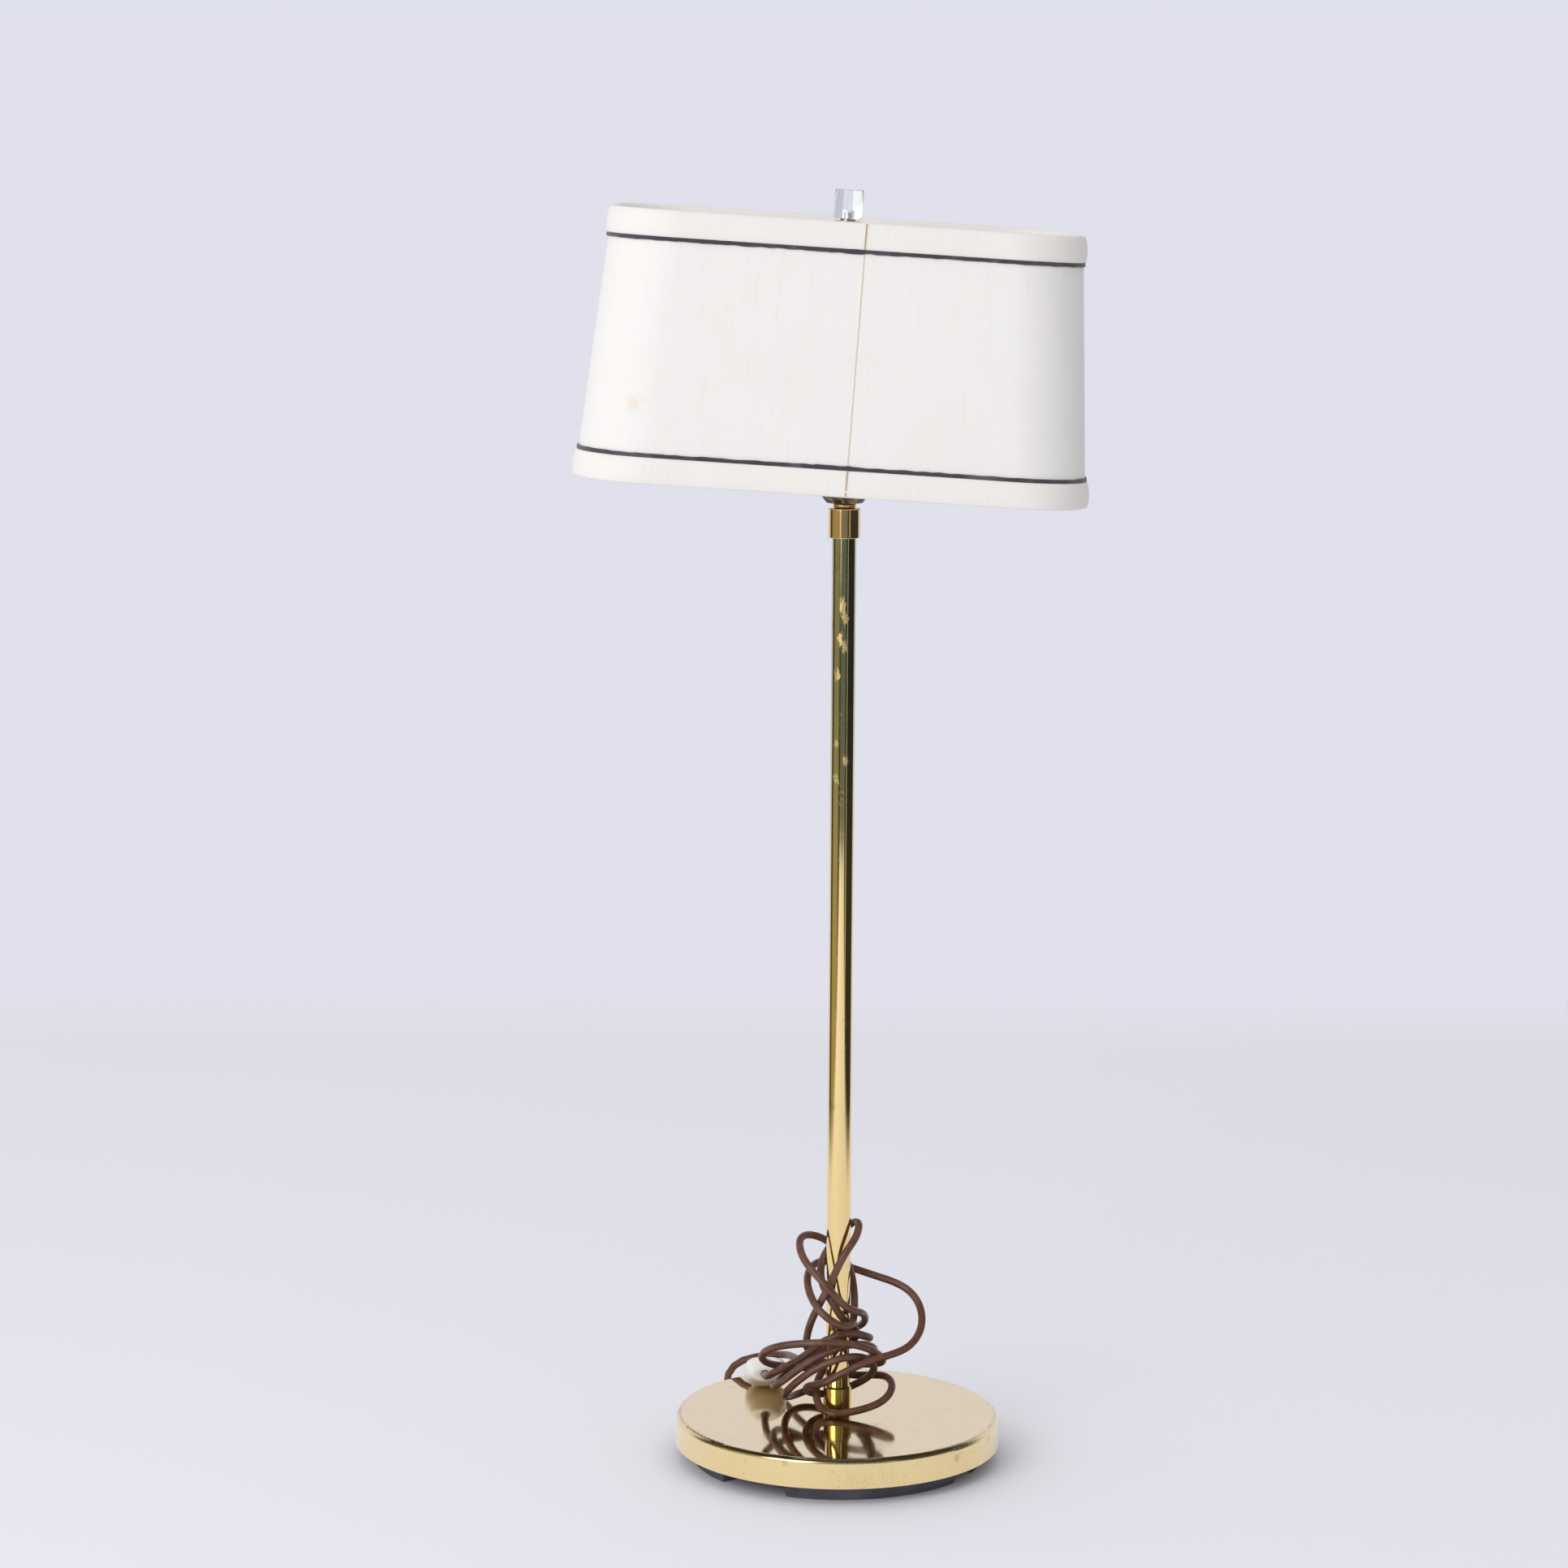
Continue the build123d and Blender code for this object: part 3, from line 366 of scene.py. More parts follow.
@dataclass(frozen=True)
class GrainFinish(Finish):
    """Moulded plastic, cast iron or plated steel with a fine grain."""

    grain_scale: float = 900.0
    relief: Range = (0.4, 0.02 * MM)
    tone: float = 0.25
    spread: float = 0.12

    def dress(self, place: Term) -> Inputs:
        """Vary colour, roughness and normal with the grain.

        Args:
            place: the lamp's own coordinates.

        Returns:
            The shader's inputs, by name.
        """
        height, tone = place.effect(Effects.grain(), scale=self.grain_scale)
        levels = (1.0 - self.tone, 1.0 + self.tone)
        dark, lit = (tuple(min(1.0, part * level) for part in self.colour) for level in levels)
        return {
            "Base Color": tone.ramp(*MIDTONES).mix(dark, lit),
            "Roughness": self.gloss(tone, self.spread),
            "Normal": height.bump(*self.relief),
        }


@dataclass(frozen=True)
class BrassFinish(Finish):
    """Lacquered brass with smudges, scratches and tarnish."""

    metal: float = 1.0
    tarnish: Colour = (0.16, 0.10, 0.035)
    dirt: Patch = Patch(55.0, 0.6, 0.85)
    dirt_rough: float = 0.25
    smudge: Patch = Patch(14.0, 0.35, 0.75, 0.1)
    scratch: float = 0.35
    scratch_scale: float = 60.0
    scratch_rough: float = 0.3
    scratch_stain: float = 0.5
    relief: Range = (0.15, 0.05 * MM)
    lacquer: float = 0.8
    lacquer_rough: float = 0.04

    def worn(self, place: Term) -> Term | float:
        """Return an extra dark mask, laid in the tarnish colour, for one piece."""
        return 0.0

    def brushed(self, place: Term) -> Term | float:
        """Return how much rougher than polished one piece is."""
        return 0.0

    def tint(self, place: Term) -> Term | Colour:
        """Return the clean brass's colour."""
        return self.colour

    def coat(self) -> Inputs:
        """Return the clear lacquer over the brass."""
        return {"Coat Weight": self.lacquer, "Coat Roughness": self.lacquer_rough}

    def dress(self, place: Term) -> Inputs:
        """Blend tarnish and each piece's extra dark mask over the brass, and roughen it.

        Args:
            place: the lamp's own coordinates.

        Returns:
            The shader's inputs, by name.
        """
        # On the base, worn() adds a painted dark reflection line round the top edge to this mask.
        dirt = place.patches(self.dirt).most(self.worn(place))
        lines = place.effect(Effects.scratch(), scale=self.scratch_scale)[0] * self.scratch
        rough = place.patches(self.smudge) * self.smudge.level + self.roughness + dirt * self.dirt_rough
        rough = (rough + lines * self.scratch_rough).clip()
        return {
            "Base Color": dirt.most(lines * self.scratch_stain).mix(self.tint(place), self.tarnish),
            "Roughness": (rough + self.brushed(place)).clip(),
            "Normal": (lines * -1.0).bump(*self.relief),
            **self.coat(),
        }


@dataclass(frozen=True)
class BaseBrass(BrassFinish):
    """The base's bright brass, with a painted dark reflection round its top edge and a painted highlight on
    its pitted skirt.
    """

    # A broken dark line round the top edge, painted in the tarnish colour: a painted reflection of the dark
    # room that the edge mirrors.
    painted_line_radius: float = 124.6 * MM
    painted_line_width: float = 2.2 * MM
    edge_height: float = 33.5 * MM
    painted_line_rise: float = 1.0 * MM
    painted_line_breaks: Patch = Patch(70.0, 0.38, 0.68)
    painted_line_levels: Range = (0.1, 0.6)
    satin: float = 0.16
    satin_rise: float = 2.0 * MM
    # A paler copy of the same brass on the skirt: a painted highlight where the light falls on it.
    skirt: Colour = (1.0, 0.79, 0.385)
    skirt_rise: float = 1.5 * MM
    pit_scale: float = 210.0
    pit_size: Range = (0.05, 0.12)
    pit_patches: Patch = Patch(26.0, 0.58, 0.66, 0.8)

    def on_skirt(self, place: Term, rise: float, amount: float) -> Term:
        """Return an amount that holds on the skirt and fades out over the top edge."""
        return place.split()[2].ramp(self.edge_height, self.edge_height + rise, amount, 0.0)

    def tint(self, place: Term) -> Term:
        """Return the brass's colour, with a paler copy on the skirt as a painted highlight."""
        return self.on_skirt(place, self.skirt_rise, 1.0).mix(self.colour, self.skirt)

    def brushed(self, place: Term) -> Term:
        """Return the satin of the skirt, below the polished top."""
        return self.on_skirt(place, self.satin_rise, self.satin)

    def worn(self, place: Term) -> Term:
        """Work out a broken dark line round the top edge, a painted reflection of the dark room, and real
        pits.

        Args:
            place: the lamp's own coordinates.

        Returns:
            The mask of both.
        """
        x, y, z = place.split()
        # Painted reflection: a dark line round the top edge, in place of the dark room that the edge
        # mirrors.
        line = abs((x * x + y * y).root() - self.painted_line_radius).fade(0.0, self.painted_line_width)
        high = z.ramp(self.edge_height, self.edge_height + self.painted_line_rise)
        breaks, patches = self.painted_line_breaks, self.pit_patches
        uneven = place.noise(breaks.scale, detail=5.0).ramp(breaks.low, breaks.high, *self.painted_line_levels)
        cells = {"Vector": place, "Scale": self.pit_scale}
        pit = place.nodes.get("ShaderNodeTexVoronoi", cells, "Distance").fade(*self.pit_size)
        some = place.noise(patches.scale, detail=3.0).ramp(patches.low, patches.high)
        return (line * high * uneven).most(pit * some * patches.level)


@dataclass(frozen=True)
class PoleBrass(BrassFinish):
    """The pole's brass: bright low down, green above with real tarnish and painted shade, with flaked
    lacquer.

    Each flake is its place across, its height and its half height, in millimetres.
    """

    dirt: Patch = Patch(55.0, 0.6, 0.85, 0.6)
    relief: Range = (0.5, 0.15 * MM)
    relief_scale: float = 1500.0
    # The green higher up is partly real tarnish and partly painted shade, where the upper pole mirrors the
    # dark room.
    tarnish_and_painted_shade: Colour = (0.58, 0.55, 0.32)
    tarnish_and_shade_heights: Range = (0.40, 0.64)
    streak_stretch: Triple = (1.0, 1.0, 0.05)
    streak_scale: float = 160.0
    streak_reach: float = 0.12
    line_level: float = 0.4
    line_rough: float = 0.2
    flake: Colour = (1.0, 0.76, 0.34)
    flake_rough: float = 0.4
    flake_scale: float = 330.0
    flake_stretch: Triple = (1.9, 1.9, 0.55)
    flake_turn: Triple = (0.0, 0.5, 0.0)
    flake_ragged: float = 2.2
    flake_slim: float = 0.45
    flake_edge: Range = (0.85, 0.98)
    flake_front: Range = (-6.0 * MM, -3.0 * MM)
    flakes: tuple[Triple, ...] = (
        (-1.0, 678.0, 12.0), (1.5, 670.0, 12.0), (-2.5, 652.0, 9.0), (1.0, 646.0, 9.0),
        (-4.5, 625.0, 10.0), (-5.0, 571.0, 7.0), (2.0, 558.0, 8.0), (-5.0, 543.0, 8.0),
    )

    def flaked(self, place: Term) -> Term:
        """Work out the ragged patches on the pole's front where the lacquer has gone.

        Args:
            place: the lamp's own coordinates.

        Returns:
            The mask of the patches.
        """
        x, y, z = place.split()
        lay = place.stretch(self.flake_stretch, self.flake_turn)
        ragged = lay.noise(self.flake_scale, detail=5.0, rough=0.7) * self.flake_ragged
        whole = None
        for across, height, size in self.flakes:
            side = (x - across * MM) / (size * self.flake_slim * MM)
            rise = (z - height * MM) / (size * MM)
            spot = ragged - (side * side + rise * rise)
            whole = spot if whole is None else whole.most(spot)
        return whole.ramp(*self.flake_edge) * y.fade(*self.flake_front)

    def dress(self, place: Term) -> Inputs:
        """Blend bright brass, aged green lacquer that is partly painted shade, and bare flakes.

        Args:
            place: the lamp's own coordinates.

        Returns:
            The shader's inputs, by name.
        """
        streak = place.stretch(self.streak_stretch).noise(self.streak_scale)
        level = place.split()[2] + (streak - NOISE_MIDDLE) * self.streak_reach
        flaked = self.flaked(place)
        lines = place.effect(Effects.scratch(), scale=self.scratch_scale)[0]
        # Real tarnish with painted shade: the brass turns green and darker higher up, where the pole mirrors
        # the dark room.
        colour = level.ramp(*self.tarnish_and_shade_heights).mix(self.colour, self.tarnish_and_painted_shade)
        colour = (place.patches(self.dirt) * self.dirt.level).mix(colour, self.tarnish)
        return {
            "Base Color": flaked.most(lines * self.line_level).mix(colour, self.flake),
            "Roughness": flaked * self.flake_rough + self.roughness + lines * self.line_rough,
            "Normal": (flaked * place.noise(self.relief_scale, detail=3.0)).bump(*self.relief),
            **self.coat(),
        }


@dataclass(frozen=True)
class ClothFinish(Finish):
    """Slubbed linen on the piece's own UV map, in metres, with an old stain where asked."""

    shadow: Colour = (0.78, 0.74, 0.68)
    slub_shade: Range = (0.3, 0.5)
    slub_tone: Range = (0.42, 0.62)
    slub_level: float = 0.25
    age: Patch = Patch(9.0, 0.45, 0.8, 0.25)
    stain: Colour = (0.86, 0.66, 0.50)
    stain_place: Triple | None = None
    stain_size: float = 13.0 * MM
    stain_stretch: Triple = (1.3, 1.0, 0.7)
    stain_scale: float = 150.0
    stain_ragged: float = 2.2
    stain_edge: Range = (0.9, 1.9)
    stain_level: float = 0.5
    polish: float = 0.1
    relief: Range = (0.7, 0.25 * MM)
    sheen: float = 0.25
    sheen_rough: float = 0.5

    def stained(self, place: Term) -> Term:
        """Work out the old stain, ragged at its edge.

        Args:
            place: the lamp's own coordinates.

        Returns:
            The stain's mask.
        """
        inputs = {0: place, 1: self.stain_place}
        far = place.nodes.get("ShaderNodeVectorMath", inputs, "Value", operation="DISTANCE")
        ragged = place.stretch(self.stain_stretch).noise(self.stain_scale, detail=5.0, rough=0.7)
        edge = ragged * (self.stain_size * self.stain_ragged)
        low, high = (self.stain_size * share for share in self.stain_edge)
        return (far + edge).ramp(low, high, self.stain_level, 0.0)

    def dress(self, place: Term) -> Inputs:
        """Lay the weave, its slubs, age and stain.

        Args:
            place: the lamp's own coordinates.

        Returns:
            The shader's inputs, by name.
        """
        height, slub = place.nodes.place("UV").effect(Effects.weave())
        colour = slub.ramp(*self.slub_shade, self.slub_level, 0.0).mix(self.colour, self.shadow)
        colour = (place.patches(self.age) * self.age.level).mix(colour, self.shadow)
        if self.stain_place is not None:
            colour = self.stained(place).mix(colour, self.stain)
        tone = slub.ramp(*self.slub_tone)
        return {
            "Base Color": colour,
            "Roughness": tone.ramp(0.0, 1.0, self.roughness, self.roughness - self.polish),
            "Normal": height.bump(*self.relief),
            "Sheen Weight": self.sheen,
            "Sheen Roughness": self.sheen_rough,
        }


@dataclass(frozen=True)
class BraidFinish(Finish):
    """Dark narrow braid with pale worn nicks, on its own UV map, in metres."""

    nick: Colour = (0.62, 0.58, 0.52)
    nicks: Patch = Patch(260.0, 0.66, 0.71)
    ribs: float = 700.0
    rib_height: float = 0.2
    fuzz_scale: float = 1400.0
    dust: Patch = Patch(60.0, level=0.6)
    dust_gain: float = 2.2
    dust_lift: float = 0.02
    polish: float = 0.1
    relief: Range = (0.8, 0.3 * MM)
    sheen: float = 0.4

    def dress(self, place: Term) -> Inputs:
        """Lay the braid's ribs, dust and nicks.

        Args:
            place: the lamp's own coordinates.

        Returns:
            The shader's inputs, by name.
        """
        cloth = place.nodes.place("UV")
        across, up, _ = cloth.split()
        rib = ((across + up) * (self.ribs * math.tau)).sine()
        fuzz = cloth.noise(self.fuzz_scale, detail=4.0, rough=0.7)
        nick = cloth.noise(self.nicks.scale, detail=5.0, rough=0.7).ramp(self.nicks.low, self.nicks.high)
        pale = tuple(min(1.0, part * self.dust_gain + self.dust_lift) for part in self.colour)
        colour = (place.patches(self.dust) * self.dust.level).mix(self.colour, pale)
        return {
            "Base Color": nick.mix(colour, self.nick),
            "Roughness": fuzz.ramp(*MIDTONES, self.roughness - self.polish, self.roughness),
            "Normal": (rib * self.rib_height + fuzz).bump(*self.relief),
            "Sheen Weight": self.sheen,
        }


@dataclass(frozen=True)
class ClearFinish(Finish):
    """Clear acrylic or frosted glass, faintly marked."""

    transmission: float = 1.0
    ior: float = 1.49
    marks: float = 0.12
    line_scale: float = 150.0
    haze: Patch = Patch(120.0)

    def dress(self, place: Term) -> Inputs:
        """Let light through and add handling marks.

        Args:
            place: the lamp's own coordinates.

        Returns:
            The shader's inputs, by name.
        """
        lines = place.effect(Effects.scratch(), scale=self.line_scale)[0] * self.marks
        rough = lines + self.roughness + place.patches(self.haze) * (self.marks / 2)
        return {"Roughness": rough, "Transmission Weight": self.transmission, "IOR": self.ior}


@dataclass(frozen=True)
class CordFinish(Finish):
    """Satin brown sheath with faint wear and dust."""

    worn: Colour = (0.20, 0.105, 0.07)
    wear: Patch = Patch(70.0, 0.4, 0.75)
    grain_scale: float = 1300.0
    spread: float = 0.16
    relief: Range = (0.25, 0.03 * MM)

    def dress(self, place: Term) -> Inputs:
        """Vary the sheath's colour and gloss.

        Args:
            place: the lamp's own coordinates.

        Returns:
            The shader's inputs, by name.
        """
        height, tone = place.effect(Effects.grain(), scale=self.grain_scale)
        return {
            "Base Color": place.patches(self.wear).mix(self.colour, self.worn),
            "Roughness": self.gloss(tone, self.spread),
            "Normal": height.bump(*self.relief),
        }


class Look(Enum):
    """The lamp's finishes, each followed by the solids that stay in view and wear it."""

    # The base's tarnish colour also paints the dark reflection line round its top edge.
    BASE_BRASS = (
        BaseBrass("base_brass", (0.93, 0.715, 0.345), 0.05, tarnish=(0.26, 0.16, 0.07), scratch=0.5,
                  lacquer=1.0),
        "base_cover",
    )
    POLE_BRASS = (PoleBrass("pole_brass", (1.0, 0.76, 0.335), 0.06), "pole")
    NECK_BRASS = (
        BrassFinish("neck_brass", (0.97, 0.67, 0.32), 0.13, tarnish=(0.13, 0.085, 0.04),
                    dirt=Patch(90.0, 0.56, 0.85)),
        "neck_collar", "neck_ring",
    )
    FERRULE_BRASS = (BrassFinish("ferrule_brass", (0.90, 0.64, 0.19), 0.2), "base_ferrule")
    CUP_BRASS = (
        BrassFinish("cup_brass", (0.30, 0.21, 0.11), 0.35, tarnish=(0.035, 0.026, 0.02),
                    dirt=Patch(170.0, 0.36, 0.62), lacquer=0.2),
        "holder_cup",
    )
    INNER_BRASS = (
        BrassFinish("inner_brass", (0.72, 0.52, 0.22), 0.25),
        "pole_foot_bush", "pole_top_bush", "harp_crown", "pivot_ball", "spider_hub", "plug_pins",
        "screw_shell", "centre_contact",
    )
    IRON = (
        GrainFinish("cast_iron", (0.10, 0.10, 0.105), 0.7, metal=0.9, grain_scale=400.0,
                    relief=(0.7, 0.2 * MM)),
        "base_weight",
    )
    FOOT = (
        GrainFinish("foot_plastic", (0.085, 0.085, 0.115), 0.55, grain_scale=700.0,
                    relief=(0.4, 0.05 * MM)),
        "foot_plate", "cord_clamp",
    )
    STEEL = (
        GrainFinish("plated_steel", (0.60, 0.60, 0.58), 0.32, metal=1.0, grain_scale=500.0),
        "foot_screws", "clamp_washer", "clamp_nut", "pole_nipple", "holder_nipple", "harp_ring", "harp_bow",
        "top_frame", "bottom_frame", "spider_arms", "hub_stud", "knob_washer",
    )
    HOLDER = (
        GrainFinish("holder_plastic", (0.022, 0.017, 0.014), 0.3),
        "lampholder_base", "lampholder_sleeve", "ring_nut", "switch_bar",
    )
    CAP = (GrainFinish("bulb_cap_metal", (0.72, 0.72, 0.72), 0.3, metal=1.0), "bulb_cap")
    OPAL = (ClearFinish("opal_glass", (0.95, 0.94, 0.91), 0.55, transmission=0.35, ior=1.5), "bulb_glass")
    LINER = (
        GrainFinish("liner_sheet", (0.82, 0.82, 0.84), 0.45, grain_scale=300.0, tone=0.03),
        "shade_liner",
    )
    CLOTH = (ClothFinish("ivory_cloth", (0.92, 0.90, 0.86), 0.9, stain_place=(-0.157, -0.119, 0.839)),)
    BAND = (ClothFinish("cream_band", (0.92, 0.885, 0.835), 0.9),)
    SEAM = (ClothFinish("seam_edge", (0.76, 0.65, 0.51), 0.9, shadow=(0.60, 0.48, 0.35)),)
    FOLD = (ClothFinish("band_fold", (0.56, 0.43, 0.30), 0.9, shadow=(0.34, 0.24, 0.16)),)
    BRAID = (BraidFinish("dark_braid", (0.062, 0.048, 0.062), 0.85),)
    ACRYLIC = (ClearFinish("clear_acrylic", (0.97, 0.98, 1.0), 0.02),)
    CORD = (CordFinish("brown_sheath", (0.13, 0.054, 0.033), 0.3), "cord_grommet", "inner_cable")
    PLUG = (
        GrainFinish("ivory_plug", (0.93, 0.91, 0.85), 0.22, grain_scale=500.0, relief=(0.2, 0.03 * MM),
                    tone=0.05),
    )

    def __init__(self, finish: Finish, *solids: str) -> None:
        """Keep the finish and the names of the solids."""
        self.finish = finish
        self.solids = solids


@cache
def material_of(look: Look) -> Material:
    """Return a look's material, built on its first use."""
    return look.finish.build()


def dress_solids() -> None:
    """Give every solid that stays in view its finish."""
    for look in Look:
        for name in look.solids:
            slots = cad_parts[name].data.materials
            slots.clear()
            slots.append(material_of(look))
            LOG.info("dressed %s in %s", name, look.name)


def stand(name: str, data: bpy.types.ID) -> Object:
    """Put an object in the scene, at the origin.

    Args:
        name: the object's name.
        data: its mesh, curve, camera or lamp.

    Returns:
        The object.
    """
    made = bpy.data.objects.new(name, data)
    bpy.context.scene.collection.objects.link(made)
    return made


def extrude_ring(mesh: BMesh, edges: list) -> tuple[list, list]:
    """Grow a loop of edges into a ring of faces.

    Args:
        mesh: the mesh that holds the loop.
        edges: the loop's edges.

    Returns:
        The new loop's points, which still lie on the old ones, and its edges.
    """
    spread = bmesh.ops.extrude_edge_only(mesh, edges=edges)["geom"]
    points = [item for item in spread if isinstance(item, bmesh.types.BMVert)]
    loop = [item for item in spread if isinstance(item, bmesh.types.BMEdge) and len(item.link_faces) == 1]
    return points, loop


class Piece:
    """A new mesh piece that is written with bmesh operators."""

    def __init__(self, name: str) -> None:
        """Open an empty mesh under the piece's name."""
        self.name = name
        self.mesh = bmesh.new()

    def close(self, material: Material, body: Body, slot: Slot, sharp: float) -> Object:
        """Turn the mesh into an object that rides on a body.

        Args:
            material: the piece's finish.
            body: the body that it moves with.
            slot: the record's material slot; not used.
            sharp: edges that turn by more degrees than this stay sharp.

        Returns:
            The finished object, at the origin.
        """
        data = bpy.data.meshes.new(self.name)
        self.mesh.to_mesh(data)
        self.mesh.free()
        data.shade_smooth()
        data.set_sharp_from_angle(angle=math.radians(sharp))
        data.materials.append(material)
        made = stand(self.name, data)
        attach(made, body.value)
        LOG.info("made %s with %d faces", self.name, len(data.polygons))
        return made


@dataclass
class Shot:
    """The camera at the photograph's place, for a square frame."""

    frame_pixels: float = 1932.0
    focal_pixels: float = 5330.0
    sensor: float = 36.0
    distance: float = 3.316
    height: float = 1.032
    pitch: float = 8.47
    yaw: float = 0.781
    roll: float = 0.353

    def build(self) -> None:
        """Make the camera and set it as the scene's own."""
        data = bpy.data.cameras.new("shot")
        data.sensor_width = self.sensor
        data.lens = self.sensor * self.focal_pixels / self.frame_pixels
        camera = stand("shot", data)
        turn = Matrix.Rotation(math.radians(self.yaw), 4, "Z")
        tilt = Matrix.Rotation(math.radians(90.0 - self.pitch), 4, "X")
        roll = Matrix.Rotation(math.radians(self.roll), 4, "Z")
        camera.matrix_world = Matrix.Translation((0.0, -self.distance, self.height)) @ turn @ tilt @ roll
        bpy.context.scene.camera = camera
        LOG.info("camera of %.1f mm at %.2f m", data.lens, self.distance)


@dataclass(frozen=True)
class Stripe:
    """An upright stripe in the mirrored room, by its turn from the room's middle in radians."""

    turn: float
    edge: Range
    colour: Colour
    foot: Range | None = None


@dataclass
class Studio:
    """A strip of pale paper as the floor, the backdrop's colour, one soft lamp and a dark room in front."""

    pale: Colour = (0.745, 0.75, 0.835)
    white: Colour = (1.0, 1.0, 1.0)
    white_turns: Range = (-0.2, -0.16)
    grey: Colour = (0.56, 0.56, 0.66)
    grey_turns: Range = (-0.02, 0.35)
    room: Colour = (0.032, 0.032, 0.035)
    room_levels: Range = (0.25, 0.6)
    stripes: tuple[Stripe, ...] = (
        Stripe(0.0, (0.30, 0.50), (0.17, 0.195, 0.18)),
        Stripe(-1.15, (0.3, 0.7), (0.34, 0.30, 0.17)),
        Stripe(0.68, (0.02, 0.07), (0.70, 0.66, 0.48)),
        Stripe(-0.5, (0.06, 0.13), (1.0, 1.0, 1.0), (-0.104, -0.096)),
    )
    behind_depths: Range = (0.35, 0.6)
    behind_levels: Range = (0.45, 0.8)
    ambient: Colour = (1.0, 1.0, 1.03)
    ambient_left: float = 0.80
    ambient_right: float = 0.42
    ambient_turn: Range = (0.1, 1.0)
    paper: Colour = (0.945, 0.945, 1.0)
    paper_rough: float = 0.9
    paper_half: float = 1.25
    paper_front: float = 3.1
    paper_back: float = 1.9
    fade: float = 0.4
    key_place: Triple = (-2.0, -2.9, 2.0)
    key_aim: Triple = (0.0, 0.0, 1.1)
    key_size: Range = (2.2, 2.3)
    key_power: float = 41.0

    def build(self) -> None:
        """Build the floor, the world and the lamp."""
        bpy.context.scene.view_settings.view_transform = "Standard"
        self.build_floor()
        self.build_world()
        self.build_key()

    def build_floor(self) -> None:
        """Build the paper, which fades into the backdrop at its edges."""
        middle = (self.paper_back - self.paper_front) / 2
        half = (self.paper_back + self.paper_front) / 2
        mesh = bmesh.new()
        bmesh.ops.create_grid(mesh, x_segments=1, y_segments=1, size=1.0)
        bmesh.ops.scale(mesh, verts=mesh.verts, vec=(self.paper_half, half, 1.0))
        bmesh.ops.translate(mesh, verts=mesh.verts, vec=(0.0, middle, 0.0))
        data = bpy.data.meshes.new("floor")
        mesh.to_mesh(data)
        mesh.free()
        stand("floor", data)
        material = bpy.data.materials.new("floor_paper")
        material.use_nodes = True
        nodes = Nodes(material.node_tree)
        x, y, _ = nodes.place().split()
        side = abs(x).fade(self.paper_half - self.fade, self.paper_half)
        ends = abs(y - middle).fade(half - self.fade, half)
        shader = material.node_tree.nodes["Principled BSDF"]
        nodes.set(shader, {"Base Color": self.paper, "Roughness": self.paper_rough, "Alpha": side * ends})
        data.materials.append(material)

    def mirrored_room(self, nodes: Nodes) -> Term:
        """Work out what the metal mirrors: the backdrop behind and a dim room in front.

        Args:
            nodes: the world's node writer.

        Returns:
            The colour seen in each direction.
        """
        across, deep, up = nodes.place("Generated").split()
        turn = across.turn_from(deep * -1.0)
        level = abs(up).fade(*self.room_levels)
        room = self.room
        for stripe in self.stripes:
            mask = abs(turn - stripe.turn).fade(*stripe.edge)
            if stripe.foot is not None:
                mask = mask * up.ramp(*stripe.foot)
            room = (mask * level).mix(room, stripe.colour)
        behind = deep.ramp(*self.behind_depths) * up.fade(*self.behind_levels)
        return behind.mix(room, self.pale)

    def backdrop(self, nodes: Nodes) -> Term:
        """Work out what shows through clear pieces: white at the left and grey at the right.

        Args:
            nodes: the world's node writer.

        Returns:
            The colour seen in each direction.
        """
        across, deep, _ = nodes.place("Generated").split()
        turn = across.turn_from(deep)
        shade = turn.ramp(*self.grey_turns).mix(self.pale, self.grey)
        return turn.fade(*self.white_turns).mix(shade, self.white)

    def build_world(self) -> None:
        """Build the backdrop colour, the even light and what the metal mirrors."""
        world = bpy.data.worlds.new("studio")
        bpy.context.scene.world = world
        world.use_nodes = True
        world.node_tree.nodes.clear()
        nodes = Nodes(world.node_tree)
        ray = nodes.add("ShaderNodeLightPath").outputs
        kinds = ("Is Camera Ray", "Is Glossy Ray", "Is Transmission Ray")
        camera, glossy, clear = (Term(nodes, ray[kind]) for kind in kinds)
        seen = glossy.mix(self.pale, self.mirrored_room(nodes))
        seen = clear.mix(seen, self.backdrop(nodes))
        across = nodes.place("Generated").split()[0]
        levels = (self.ambient_left, self.ambient_right)
        lit, dim = (tuple(part * level for part in self.ambient) for level in levels)
        even = across.ramp(*self.ambient_turn).mix(lit, dim)
        colour = camera.most(glossy).most(clear).mix(even, seen)
        back = nodes.get("ShaderNodeBackground", {"Color": colour, "Strength": 1.0})
        nodes.add("ShaderNodeOutputWorld", {"Surface": back})

    def build_key(self) -> None:
        """Add the soft oblong lamp that faces the shade."""
        data = bpy.data.lights.new("key_softbox", "AREA")
        data.shape = "RECTANGLE"
        data.size, data.size_y = self.key_size
        data.energy = self.key_power
        aim = (Vector(self.key_aim) - Vector(self.key_place)).to_track_quat("-Z", "Y").to_matrix()
        stand("key_softbox", data).matrix_world = Matrix.Translation(self.key_place) @ aim.to_4x4()
        LOG.info("key lamp of %.0f W", self.key_power)


